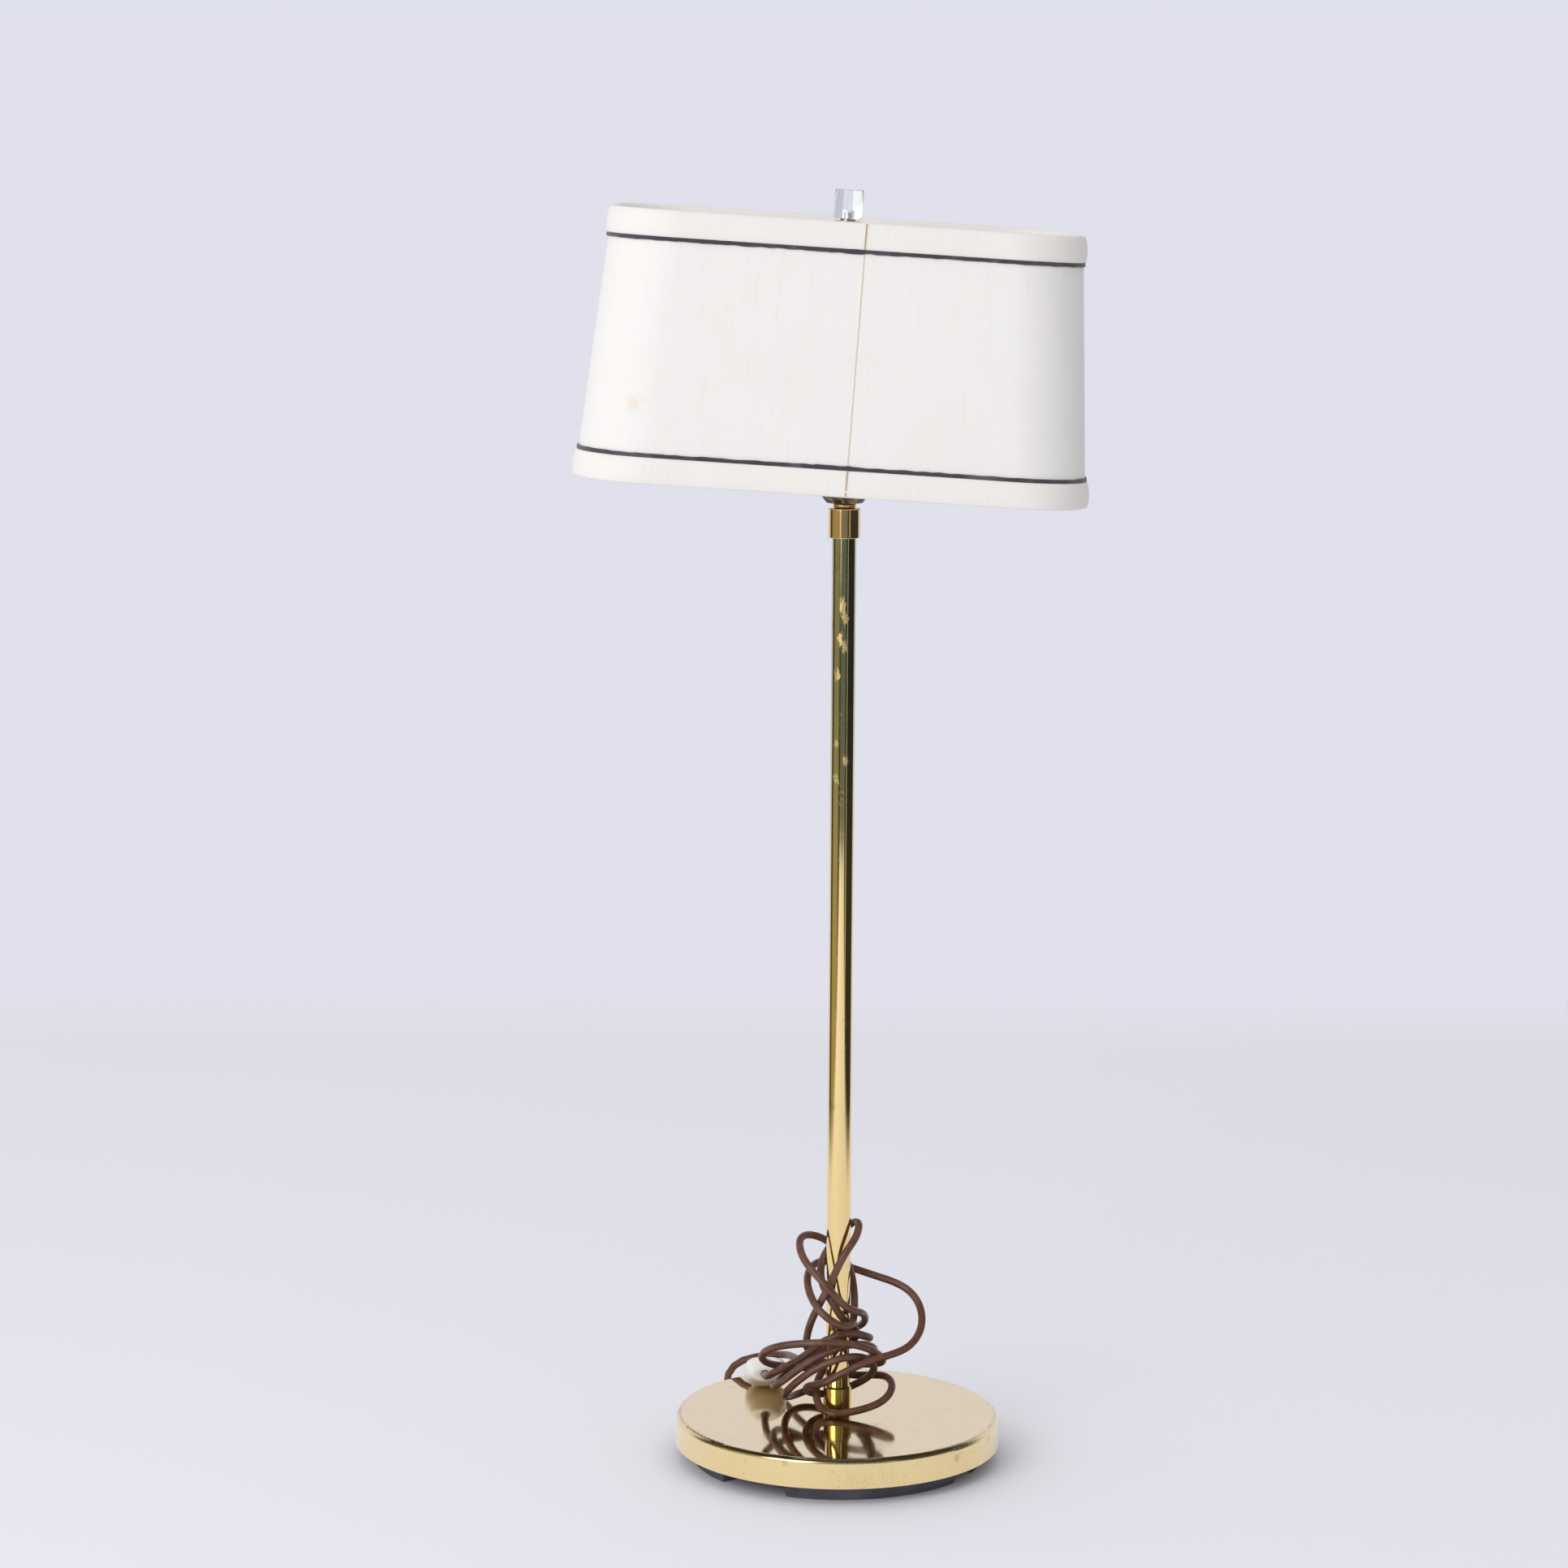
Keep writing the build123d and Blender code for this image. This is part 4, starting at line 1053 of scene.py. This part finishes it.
@dataclass(frozen=True)
class MainsPlug:
    """The ivory plug that leans on the base: a rounded barrel with an oval end that the cord enters.

    Each ring is its run from the cord end, its half width, its half height and how square it is.
    """

    across: float = -58.0
    cord_end: float = 44.0
    base_top: float = 36.0
    lean: float = 10.5
    thickness: float = 22.0
    length: float = 34.0
    hole: float = 3.25
    hole_depth: float = 4.0
    hole_round: float = 0.5
    hole_square: float = 2.0
    segments: int = 64
    rings: tuple[tuple[float, float, float, float], ...] = (
        (0.0, 9.0, 3.9, 2.2),
        (0.35, 10.6, 5.1, 2.3),
        (0.9, 11.2, 5.7, 2.3),
        (3.0, 12.0, 6.6, 2.4),
        (7.0, 13.7, 8.0, 2.5),
        (11.0, 15.4, 9.5, 2.7),
        (15.0, 16.5, 10.6, 2.8),
        (19.0, 17.0, 11.0, 2.9),
        (30.0, 17.0, 11.0, 3.0),
        (32.4, 16.6, 10.6, 3.0),
        (33.6, 15.7, 9.8, 3.0),
        (34.0, 14.4, 8.6, 3.0),
    )

    def way(self) -> Vector:
        """Return the plug's direction, from its cord end to its pins."""
        turn = math.radians(self.lean)
        return Vector((0.0, math.cos(turn), -math.sin(turn)))

    def start(self) -> Vector:
        """Work out where the plug starts, with the edge of its far end on the base.

        Returns:
            The middle of its cord end.
        """
        turn = math.radians(self.lean)
        lift = self.thickness / 2 * math.cos(turn) + self.length * math.sin(turn)
        return Vector((self.across, self.cord_end, self.base_top + lift))

    def build(self) -> Object:
        """Make the plug's body ring by ring, from its cord hole to its pin face.

        Returns:
            The plug's body.
        """
        piece = Piece("plug_shell")
        mesh = piece.mesh
        upright = Matrix.Rotation(math.pi / 2, 4, "X")
        bmesh.ops.create_circle(mesh, segments=self.segments, radius=1.0, matrix=upright)
        points, loop = list(mesh.verts), list(mesh.edges)
        old_wide = old_tall = 1.0
        runs = ((self.hole_depth, 0.0), (self.hole_round, 0.0), (0.0, self.hole_round))
        inside = [(run, self.hole + more, self.hole + more, self.hole_square) for run, more in runs]
        for number, (run, wide, tall, square) in enumerate((*inside, *self.rings)):
            if number:
                points, loop = extrude_ring(mesh, loop)
            for vert in points:
                turn = math.atan2(vert.co.z / old_tall, vert.co.x / old_wide)
                cos, sin = math.cos(turn), math.sin(turn)
                share = (abs(cos) ** square + abs(sin) ** square) ** (-1.0 / square)
                vert.co = Vector((wide * cos * share, run, tall * sin * share))
            old_wide, old_tall = wide, tall
        bmesh.ops.edgeloop_fill(mesh, edges=loop)
        bmesh.ops.recalc_face_normals(mesh, faces=mesh.faces)
        tilt = Matrix.Rotation(math.radians(-self.lean), 4, "X")
        place = Matrix.Scale(MM, 4) @ Matrix.Translation(self.start()) @ tilt
        bmesh.ops.transform(mesh, matrix=place, verts=mesh.verts)
        made = piece.close(material_of(Look.PLUG), Body.STAND, Slot.PLUG, sharp=50.0)
        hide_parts("plug_body")
        return made


@dataclass
class MainsCord:
    """The brown cord, from the foot's grommet, wound round the pole, to its plug.

    Each turn has four stations, a quarter apart: the reach from the pole's axis, and the height.
    """

    radius: float = 3.0
    exit_angle: float = 219.0
    exit_reach: float = 110.0
    exit_height: float = 5.4
    supply_reach: float = 144.0
    supply_rise: float = 44.0
    supply_over: Triple = (-42.0, 98.0, 56.0)
    supply_tail: float = 40.0
    coil_straight: float = 6.0
    coil_from: Triple = (-40.0, 80.0, 58.0)
    coil_to: Triple = (-47.0, 16.0, 68.0)
    lead_head: float = 16.0
    lead_tail: float = 22.0
    plug: MainsPlug = MainsPlug()
    points_per_arc: int = 3
    length: float = 2.295
    turns: tuple[tuple[Range, ...], ...] = (
        ((22.5, 69.5), (36, 78), (30, 100.5), (60.5, 80)),
        ((27, 60), (43.5, 57.5), (18, 39.5), (17, 52)),
        ((14.5, 82.5), (15, 100), (14, 121), (14, 150)),
        ((14, 176), (16, 187.5), (18, 159), (25, 91)),
        ((29, 91), (21.5, 112.5), (28.5, 135), (31, 173)),
        ((23, 161.5), (13, 125), (29.5, 115), (24.5, 143.5)),
        ((31.5, 148.5), (67, 112), (27.5, 73), (25, 54)),
        ((19, 47), (29, 72.5), (24, 85.5), (42, 48.5)),
        ((44.5, 52.5), (29, 87), (18, 93), (51, 56)),
        ((39.5, 83), (25.5, 96.5), (15.5, 102.5), (36, 75)),
    )

    def exit_point(self, reach: float, height: float) -> Vector:
        """Return a point on the cord's way out of the foot."""
        turn = math.radians(self.exit_angle)
        return Vector((reach * math.sin(turn), -reach * math.cos(turn), height))

    def stations(self) -> list[Vector]:
        """Work out the points that the winding passes.

        Returns:
            The points, in order along the cord.
        """
        points: list[Vector] = []
        for reach, height in (station for turn in self.turns for station in turn):
            angle = math.radians(90 - 90 * len(points))
            points.append(Vector((reach * math.cos(angle), reach * math.sin(angle), height)))
        return points

    def arc(self, start: Vector, way: Vector, end: Vector) -> list[Vector]:
        """Work out the arc that leaves one point along a direction and meets another.

        Args:
            start: the arc's first point.
            way: its direction there.
            end: its last point.

        Returns:
            Points along the arc, without the last.
        """
        chord = end - start
        side = (chord - way * chord.dot(way)).normalized()
        half = way.angle(chord)
        points = []
        for step in range(self.points_per_arc):
            part = half * step / self.points_per_arc
            reach = chord.length * math.sin(part) / math.sin(half)
            points.append(start + (way * math.cos(part) + side * math.sin(part)) * reach)
        return points

    def winding(self) -> tuple[list[Vector], Vector, Vector]:
        """Work out the winding's turns from its stations.

        Returns:
            The points of the turns, and the cord's direction at the first and last.
        """
        stations = self.stations()
        chain = [Vector(self.coil_from), *stations, Vector(self.coil_to)]
        ways = [(after - before).normalized() for before, after in zip(chain, chain[2:])]
        points: list[Vector] = []
        for start, end, way, next_way in zip(stations, stations[1:], ways, ways[1:]):
            gap = end - start
            square = 2 * (1 - way.dot(next_way))
            linear = 2 * gap.dot(way + next_way)
            handle = (math.sqrt(linear**2 + 4 * square * gap.dot(gap)) - linear) / (2 * square)
            first = start + way * handle
            second = end - next_way * handle
            joint = (first + second) / 2
            points += self.arc(start, way, joint)
            points += self.arc(joint, (second - first).normalized(), end)
        return [*points, stations[-1]], ways[0], ways[-1]

    def route(self) -> list[Vector]:
        """Work out the control points of the whole cord.

        Returns:
            The points from the foot to the plug, in millimetres.
        """
        coil, first_way, last_way = self.winding()
        begin = coil[0] - first_way * self.coil_straight
        end = coil[-1] + last_way * self.coil_straight
        plug = self.plug.start()
        supply = [
            self.exit_point(self.exit_reach, self.exit_height),
            self.exit_point(self.supply_reach, self.exit_height),
            self.exit_point(self.supply_reach, self.supply_rise),
            Vector(self.supply_over),
            begin - first_way * self.supply_tail,
            begin,
        ]
        lead = [end, end + last_way * self.lead_head, plug - self.plug.way() * self.lead_tail, plug]
        return [*supply, *coil, *lead]

    def build(self, plug_pieces: list) -> None:
        """Args:
            plug_pieces: the pieces that the cord carries; not used.
        """
        points = [point * MM for point in self.route()]
        data = bpy.data.curves.new("mains_cord", "CURVE")
        data.dimensions = "3D"
        data.bevel_depth = self.radius * MM
        data.bevel_resolution = 5
        data.use_fill_caps = True
        data.resolution_u = 4
        spline = data.splines.new("NURBS")
        spline.points.add(len(points) - 1)
        for control, point in zip(spline.points, points):
            control.co = (*point, 1.0)
        spline.order_u = 3
        spline.use_endpoint_u = True
        data.materials.append(material_of(Look.CORD))
        cord = stand("mains_cord", data)
        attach(cord, Body.STAND.value)
        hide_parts("cord_supply", "cord_coil", "cord_plug_lead")
        LOG.info("made mains_cord with %d control points", len(points))


@dataclass(frozen=True)
class ShadeFrame:
    """The shade's own frame, which stands on the ball and leans to the right."""

    pivot: float = 960.0
    lean: float = 3.4

    def stand_up(self, mesh: BMesh) -> None:
        """Turn millimetres into metres and lean the mesh with the shade.

        Args:
            mesh: the mesh, in the shade's own frame.
        """
        lean = Matrix.Rotation(math.radians(self.lean), 4, "Y")
        place = Matrix.Translation((0.0, 0.0, self.pivot * MM)) @ lean @ Matrix.Scale(MM, 4)
        bmesh.ops.transform(mesh, matrix=place, verts=mesh.verts)


@dataclass
class ShadeKnob:
    """The clear knob, turned with a rounded foot and bored for its stud."""

    stance: ShadeFrame = ShadeFrame()
    low: float = 13.05
    height: float = 22.0
    radius: float = 11.0
    top_radius: float = 10.846
    foot_round: float = 2.0
    foot_steps: int = 8
    top_round: float = 0.5
    top_steps: int = 4
    bore: float = 3.05
    bore_depth: float = 6.5
    steps: int = 128

    @staticmethod
    def quarter(reach: float, height: float, size: float, first: float, steps: int) -> list[Range]:
        """Return a quarter circle of the half section, from its centre, radius, first angle and steps."""
        turns = (first + math.pi / 2 * step / steps for step in range(steps + 1))
        return [(reach + size * math.cos(turn), height + size * math.sin(turn)) for turn in turns]

    def profile(self) -> list[Range]:
        """Work out the half section, from the bore's end round to the middle of the top.

        Returns:
            The reach and height of each point.
        """
        high = self.low + self.height
        floor = self.low + self.bore_depth
        foot, top = self.foot_round, self.top_round
        return [
            (0.0, floor),
            (self.bore, floor),
            (self.bore, self.low),
            *self.quarter(self.radius - foot, self.low + foot, foot, -math.pi / 2, self.foot_steps),
            *self.quarter(self.top_radius - top, high - top, top, 0.0, self.top_steps),
            (0.0, high),
        ]

    def build(self) -> None:
        """Spin the half section round the knob's axis."""
        piece = Piece("clear_knob")
        mesh = piece.mesh
        verts = [mesh.verts.new((reach, 0.0, height)) for reach, height in self.profile()]
        edges = [mesh.edges.new(pair) for pair in zip(verts, verts[1:])]
        bmesh.ops.spin(
            mesh, geom=[*verts, *edges], cent=(0.0, 0.0, 0.0), axis=(0.0, 0.0, 1.0), steps=self.steps,
            angle=math.tau, use_merge=True,
        )
        bmesh.ops.remove_doubles(mesh, verts=mesh.verts, dist=0.001)
        bmesh.ops.recalc_face_normals(mesh, faces=mesh.faces)
        self.stance.stand_up(mesh)
        made = piece.close(material_of(Look.ACRYLIC), Body.KNOB, Slot.KNOB, sharp=50.0)
        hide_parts("shade_knob")


@dataclass(frozen=True)
class SoftWall:
    """One kind of soft wall: its finish, the spacing of its points and how it strays, in millimetres.

    It strays in and out, its edges ripple up and down, and it is taller where its ends lap.
    """

    look: Look
    slot: Slot
    step: float
    sharp: float
    stray: float
    ripple: float = 0.0
    lap: float = 0.0


@dataclass
class ClothShade:
    """The oblong shade: cloth, folded bands, dark braids and the seam, in its leaning frame.

    The band's swell is a share of its swell and of its height, and its fold a reach and depth at the wire.
    """

    stance: ShadeFrame = ShadeFrame()
    rim: float = 12.0
    floor: float = -188.0
    bottom_width: float = 384.0
    bottom_depth: float = 250.0
    side_draw: float = 15.5
    front_draw: float = 15.0
    corner: float = 55.0
    corner_steps: int = 14
    straight_share: float = 0.9
    cloth: SoftWall = SoftWall(Look.CLOTH, Slot.CLOTH, step=6.0, sharp=60.0, stray=0.12)
    band: SoftWall = SoftWall(Look.BAND, Slot.BAND, step=3.0, sharp=60.0, stray=0.45)
    braid: SoftWall = SoftWall(Look.BRAID, Slot.TRIM, step=1.5, sharp=70.0, stray=0.25, ripple=0.5, lap=0.35)
    cloth_seed: float = 3.0
    band_seed: float = 7.0
    cloth_rows: int = 10
    cloth_thickness: float = 1.0
    cloth_gap: float = 0.3
    liner_thickness: float = 0.8
    sway_length: float = 28.0
    sway_height: float = 60.0
    ripple_length: float = 8.0
    ripple_seed: float = 5.0
    band_height: float = 19.0
    band_thickness: float = 1.5
    band_edge: float = 0.5
    band_swell: float = 1.3
    band_swells: tuple[Range, ...] = ((0.7, 0.22), (1.0, 0.5), (0.75, 0.8))
    fold_depth: float = 14.0
    fold_round: float = 0.6
    fold_lip: Range = (0.8, 0.9)
    fold_inner_lip: Range = (0.2, 0.72)
    fold_lining: float = 0.1
    fold_at_wire: tuple[Range, ...] = (
        (1.9, 1.2), (0.2, 3.0), (0.0, 5.0), (0.5, 7.0), (0.9, 7.0), (0.4, 5.0), (0.6, 3.2), (2.1, 1.7),
    )
    wire_radius: float = 2.0
    wire_room: float = 1.0
    braid_height: float = 3.0
    braid_thickness: float = 1.2
    braid_edge: Range = (0.5, 0.6)
    braid_dip: float = 0.25
    seam_across: float = 14.0
    seam_slant: float = 0.012
    seam_width: float = 0.9
    seam_lift: float = 0.1
    seam_proud: float = 0.35
    seam_sunk: float = 0.2
    seam_round: float = 0.15
    lap_length: float = 26.0
    lap_width: float = 1.2
    lap_over: float = 0.3
    lap_swells: tuple[float, ...] = (0.35, 0.95, 1.0, 0.5)
    flat_angle: float = 0.001
    middle_share: float = 1e-6

    def half_sizes(self, line: Range) -> Range:
        """Work out half the outline's width and depth.

        Args:
            line: how far the outline stands off the cloth's face, and its height from the pivot.

        Returns:
            Half the width, and half the depth.
        """
        grow, height = line
        share = (height - self.floor) / (self.rim - self.floor)
        width = self.bottom_width / 2 - self.side_draw * share + grow
        depth = self.bottom_depth / 2 - self.front_draw * share + grow
        return width, depth

    def around(self, height: float) -> float:
        """Return the length round the cloth at a height."""
        width, depth = self.half_sizes((0.0, height))
        return 4 * (width + depth - 2 * self.corner) + math.tau * self.corner

    def place(self, mark: Mark, line: Range) -> Vector:
        """Work out a point of the outline.

        Args:
            mark: how the point lies on it.
            line: the outline's stand-off and height.

        Returns:
            The point, in the shade's own frame, in millimetres.
        """
        share, out = mark
        width, depth = self.half_sizes(line)
        reach = self.corner + line[0]
        across = share.x * (width - reach) + out.x * reach
        deep = share.y * (depth - reach) + out.y * reach
        return Vector((across, deep, line[1]))

    def anchor(self, point: Vector, line: Range) -> Mark:
        """Work out how a point lies on an outline.

        Args:
            point: the point, in the shade's own frame.
            line: the outline's stand-off and height.

        Returns:
            Where its corner centre lies, from -1 to 1 each way, and the direction that the wall faces.
        """
        width, depth = self.half_sizes(line)
        reach = self.corner + line[0]
        inner = Vector((width - reach, depth - reach))
        centre = Vector((max(-inner.x, min(inner.x, point.x)), max(-inner.y, min(inner.y, point.y))))
        out = Vector((point.x, point.y)) - centre
        return Vector((centre.x / inner.x, centre.y / inner.y)), out.normalized()

    def travel(self, mark: Mark) -> float:
        """Work out how far a point lies round the shade.

        Args:
            mark: how the point lies on the outline.

        Returns:
            The way from the middle of the front, less than zero at the left.
        """
        share, out = mark
        width, depth = self.half_sizes((0.0, (self.rim + self.floor) / 2))
        long_side, short_side = width - self.corner, depth - self.corner
        angle = math.atan2(abs(out.x), -out.y)
        if angle < self.flat_angle:
            along = abs(share.x) * long_side
        elif angle > math.pi - self.flat_angle:
            along = long_side + 2 * short_side + (1 - abs(share.x)) * long_side
        else:
            along = long_side + (share.y + 1) * short_side
        side = share.x if abs(share.x) > self.middle_share else out.x
        return math.copysign(self.corner * angle + along, side)

    def first_ring(self, mesh: BMesh, line: Range, step: float) -> None:
        """Start a wall with one rounded oblong loop of edges.

        Args:
            mesh: the wall's empty mesh.
            line: the loop's stand-off and height.
            step: spacing of the points on the straight sides.
        """
        reach = self.corner + line[0]
        width, depth = self.half_sizes(line)
        bmesh.ops.create_circle(mesh, segments=4 * self.corner_steps, radius=reach)
        half_step = math.pi / (4 * self.corner_steps)
        bmesh.ops.rotate(mesh, verts=mesh.verts, matrix=Matrix.Rotation(half_step, 3, "Z"))
        for vert in mesh.verts:
            vert.co.x += math.copysign(width - reach, vert.co.x)
            vert.co.y += math.copysign(depth - reach, vert.co.y)
            vert.co.z = line[1]
        straight = 2 * (min(width, depth) - reach) * self.straight_share
        for edge in [edge for edge in mesh.edges if edge.calc_length() > straight]:
            cuts = max(1, round(edge.calc_length() / step))
            bmesh.ops.subdivide_edges(mesh, edges=[edge], cuts=cuts)

    def wall(self, name: str, node: str, section: list[Range], kind: SoftWall, seed: float) -> Object:
        """Build a closed wall round the shade from its section.

        Args:
            name: the piece's name.
            node: the solid that it stands for.
            section: how far out and how high each line of the wall lies, in order round its section.
            kind: the wall's finish, points and stray.
            seed: where in the noise the stray starts.

        Returns:
            The wall.
        """
        piece = Piece(name)
        mesh = piece.mesh
        middle = sum(level for _, level in section) / len(section)
        self.first_ring(mesh, section[0], kind.step)
        first = loop = list(mesh.edges)
        marks = {vert: self.anchor(vert.co, section[0]) for vert in mesh.verts}
        for line, next_line in zip(section, section[1:]):
            points, loop = extrude_ring(mesh, loop)
            for vert in points:
                marks[vert] = self.anchor(vert.co, line)
                vert.co = self.place(marks[vert], next_line)
        bmesh.ops.bridge_loops(mesh, edges=first + loop)
        self.spread_cloth(mesh, marks)
        for vert in mesh.verts:
            out = marks[vert][1]
            way, high = self.travel(marks[vert]), vert.co.z
            sway = noise.noise(Vector((way / self.sway_length + seed, high / self.sway_height, seed)))
            ripple = Vector((way / self.ripple_length - seed, high / self.braid_height, self.ripple_seed))
            lift = noise.noise(ripple) * kind.ripple
            if self.seam_across - self.lap_length < way < self.seam_across:
                lift += math.copysign(kind.lap, high - middle)
            vert.co += Vector((out.x * sway * kind.stray, out.y * sway * kind.stray, lift))
        bmesh.ops.recalc_face_normals(mesh, faces=mesh.faces)
        self.stance.stand_up(mesh)
        made = piece.close(material_of(kind.look), Body.SHADE, kind.slot, kind.sharp)
        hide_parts(node)
        return made

    def spread_cloth(self, mesh: BMesh, marks: dict[bmesh.types.BMVert, Mark]) -> None:
        """Give the wall a UV map in metres: round the shade, and up.

        Args:
            mesh: the wall, before it leans.
            marks: how each of its points lies on the outline.
        """
        sheet = mesh.loops.layers.uv.new("cloth")
        whole = self.around((self.rim + self.floor) / 2)
        for face in mesh.faces:
            ways = [self.travel(marks[loop.vert]) for loop in face.loops]
            split = max(ways) - min(ways) > whole / 2
            for loop, way in zip(face.loops, ways):
                way = way + whole if split and way < 0 else way
                loop[sheet].uv = (way * MM, loop.vert.co.z * MM)

    def build_cloth(self) -> Object:
        """Make the cloth wall between the two rims.

        Returns:
            The cloth.
        """
        rows = range(self.cloth_rows + 1)
        heights = [self.floor + (self.rim - self.floor) * row / self.cloth_rows for row in rows]
        section = [(0.0, height) for height in heights]
        section += [(-self.cloth_thickness, height) for height in reversed(heights)]
        return self.wall("shade_cloth_wall", "shade_cloth", section, self.cloth, self.cloth_seed)

    def build_band(self, name: str, node: str, outer: float, inner: float) -> Object:
        """Make one band, folded over its rim and over the wire inside.

        Args:
            name: the piece's name.
            node: the solid that it stands for.
            outer: the height of the rim that it folds over.
            inner: the height of its other edge.

        Returns:
            The band.
        """
        up = math.copysign(1.0, outer - inner)
        low = self.cloth_gap
        face = low + self.band_thickness
        inside = -self.cloth_thickness - self.liner_thickness - 2 * self.cloth_gap
        wire = inside - 2 * self.wire_radius - self.wire_room
        tall, lining = up * self.band_height, outer + up * self.fold_lining
        section = [
            (low, inner),
            (face - self.band_edge, inner),
            (face, inner + up * self.band_edge),
            *((face + self.band_swell * swell, inner + tall * share) for swell, share in self.band_swells),
            (face, outer - up * self.fold_round),
            (face - self.fold_round, outer + up * self.fold_round / 2),
            (low - self.fold_lip[0], outer + up * self.fold_lip[1]),
            (inside - self.fold_inner_lip[0], outer + up * self.fold_inner_lip[1]),
            *((wire + reach, outer - up * depth) for reach, depth in self.fold_at_wire),
            (inside, lining),
            (low, lining),
        ]
        return self.wall(name, node, section, self.band, self.band_seed + up)

    def build_braid(self, name: str, node: str, low: float) -> Object:
        """Make one narrow braid with a rounded, slightly lumpy face.

        Args:
            name: the piece's name.
            node: the solid that it stands for.
            low: the height of its lower edge.

        Returns:
            The braid.
        """
        seat = self.cloth_gap
        high = low + self.braid_height
        face = seat + self.braid_thickness
        inset, rise = self.braid_edge
        section = [
            (seat, low),
            (face - inset, low),
            (face, low + rise),
            (face - self.braid_dip, (low + high) / 2),
            (face, high - rise),
            (face - inset, high),
            (seat, high),
        ]
        return self.wall(name, node, section, self.braid, low)

    def build_seam(self, name: str, runs: list[Triple], width: float, look: Look) -> Object:
        """Make a thin lapped edge that runs down the front of the shade.

        Args:
            name: the piece's name.
            runs: the low end, high end and stand-off of each stretch.
            width: how wide the edge is.
            look: its finish.

        Returns:
            The edge.
        """
        piece = Piece(name)
        mesh = piece.mesh
        for low, high, grow in runs:
            for vert in bmesh.ops.create_cube(mesh, size=1.0)["verts"]:
                height = high if vert.co.z > 0 else low
                depth = self.half_sizes((grow, height))[1]
                across = self.seam_across + vert.co.x * width - self.seam_slant * (self.rim - height)
                deep = -depth - self.seam_proud if vert.co.y < 0 else -depth + self.seam_sunk
                vert.co = Vector((across, deep, height))
        bmesh.ops.bevel(
            mesh, geom=[*mesh.edges], offset=self.seam_round, offset_type="OFFSET", segments=2, profile=0.5,
            affect="EDGES", clamp_overlap=True, material=-1,
        )
        sheet = mesh.loops.layers.uv.new("cloth")
        for loop in (loop for face in mesh.faces for loop in face.loops):
            loop[sheet].uv = (loop.vert.co.x * MM, loop.vert.co.z * MM)
        bmesh.ops.recalc_face_normals(mesh, faces=mesh.faces)
        self.stance.stand_up(mesh)
        return piece.close(material_of(look), Body.SHADE, Slot.CLOTH, sharp=40.0)

    def build_seams(self) -> list[Object]:
        """Make the faint edge down the cloth and the darker folds across the bands.

        Returns:
            The two pieces.
        """
        proud = self.cloth_gap + self.band_thickness
        low = self.floor + self.band_height
        high = self.rim - self.band_height
        cloth = [(low + self.braid_height, high - self.braid_height, self.seam_lift)]
        stretch = self.band_height / len(self.lap_swells)
        bands = []
        for start in (self.floor, high):
            for step, swell in enumerate(self.lap_swells):
                bottom = start + stretch * step
                bands.append((bottom, bottom + stretch + self.lap_over, proud + self.band_swell * swell))
        return [
            self.build_seam("shade_seam_edge", cloth, self.seam_width, Look.SEAM),
            self.build_seam("band_seam_folds", bands, self.lap_width, Look.FOLD),
        ]

    def build(self) -> None:
        """Make every soft piece of the shade."""
        cloth = self.build_cloth()
        top_low = self.rim - self.band_height
        bottom_high = self.floor + self.band_height
        bands = [
            self.build_band("top_band_fold", "top_band", self.rim, top_low),
            self.build_band("bottom_band_fold", "bottom_band", self.floor, bottom_high),
        ]
        braids = [
            self.build_braid("top_braid", "top_trim", top_low - self.braid_height),
            self.build_braid("bottom_braid", "bottom_trim", bottom_high),
        ]
        seams = self.build_seams()
        wide = self.around(self.floor) * MM
        slim = self.around(self.rim) * MM
        tall = (self.rim - self.floor) * MM
        (wide + slim) / 2 * tall
        for band, height, node in zip(bands, (self.rim, self.floor), ("top_frame", "bottom_frame")):
            self.around(height) * MM


def main() -> None:
    """Build the shot, the plug, the cord, the shade, the knob, the finishes and the studio in order."""
    logging.basicConfig(level=logging.INFO, format="%(name)s: %(message)s")
    Shot().build()
    plug = MainsPlug()
    shell = plug.build()
    MainsCord(plug=plug).build([shell, "plug_pins", "cord_grommet"])
    ClothShade().build()
    ShadeKnob().build()
    dress_solids()
    Studio().build()


if __name__ == "__main__":
    main()
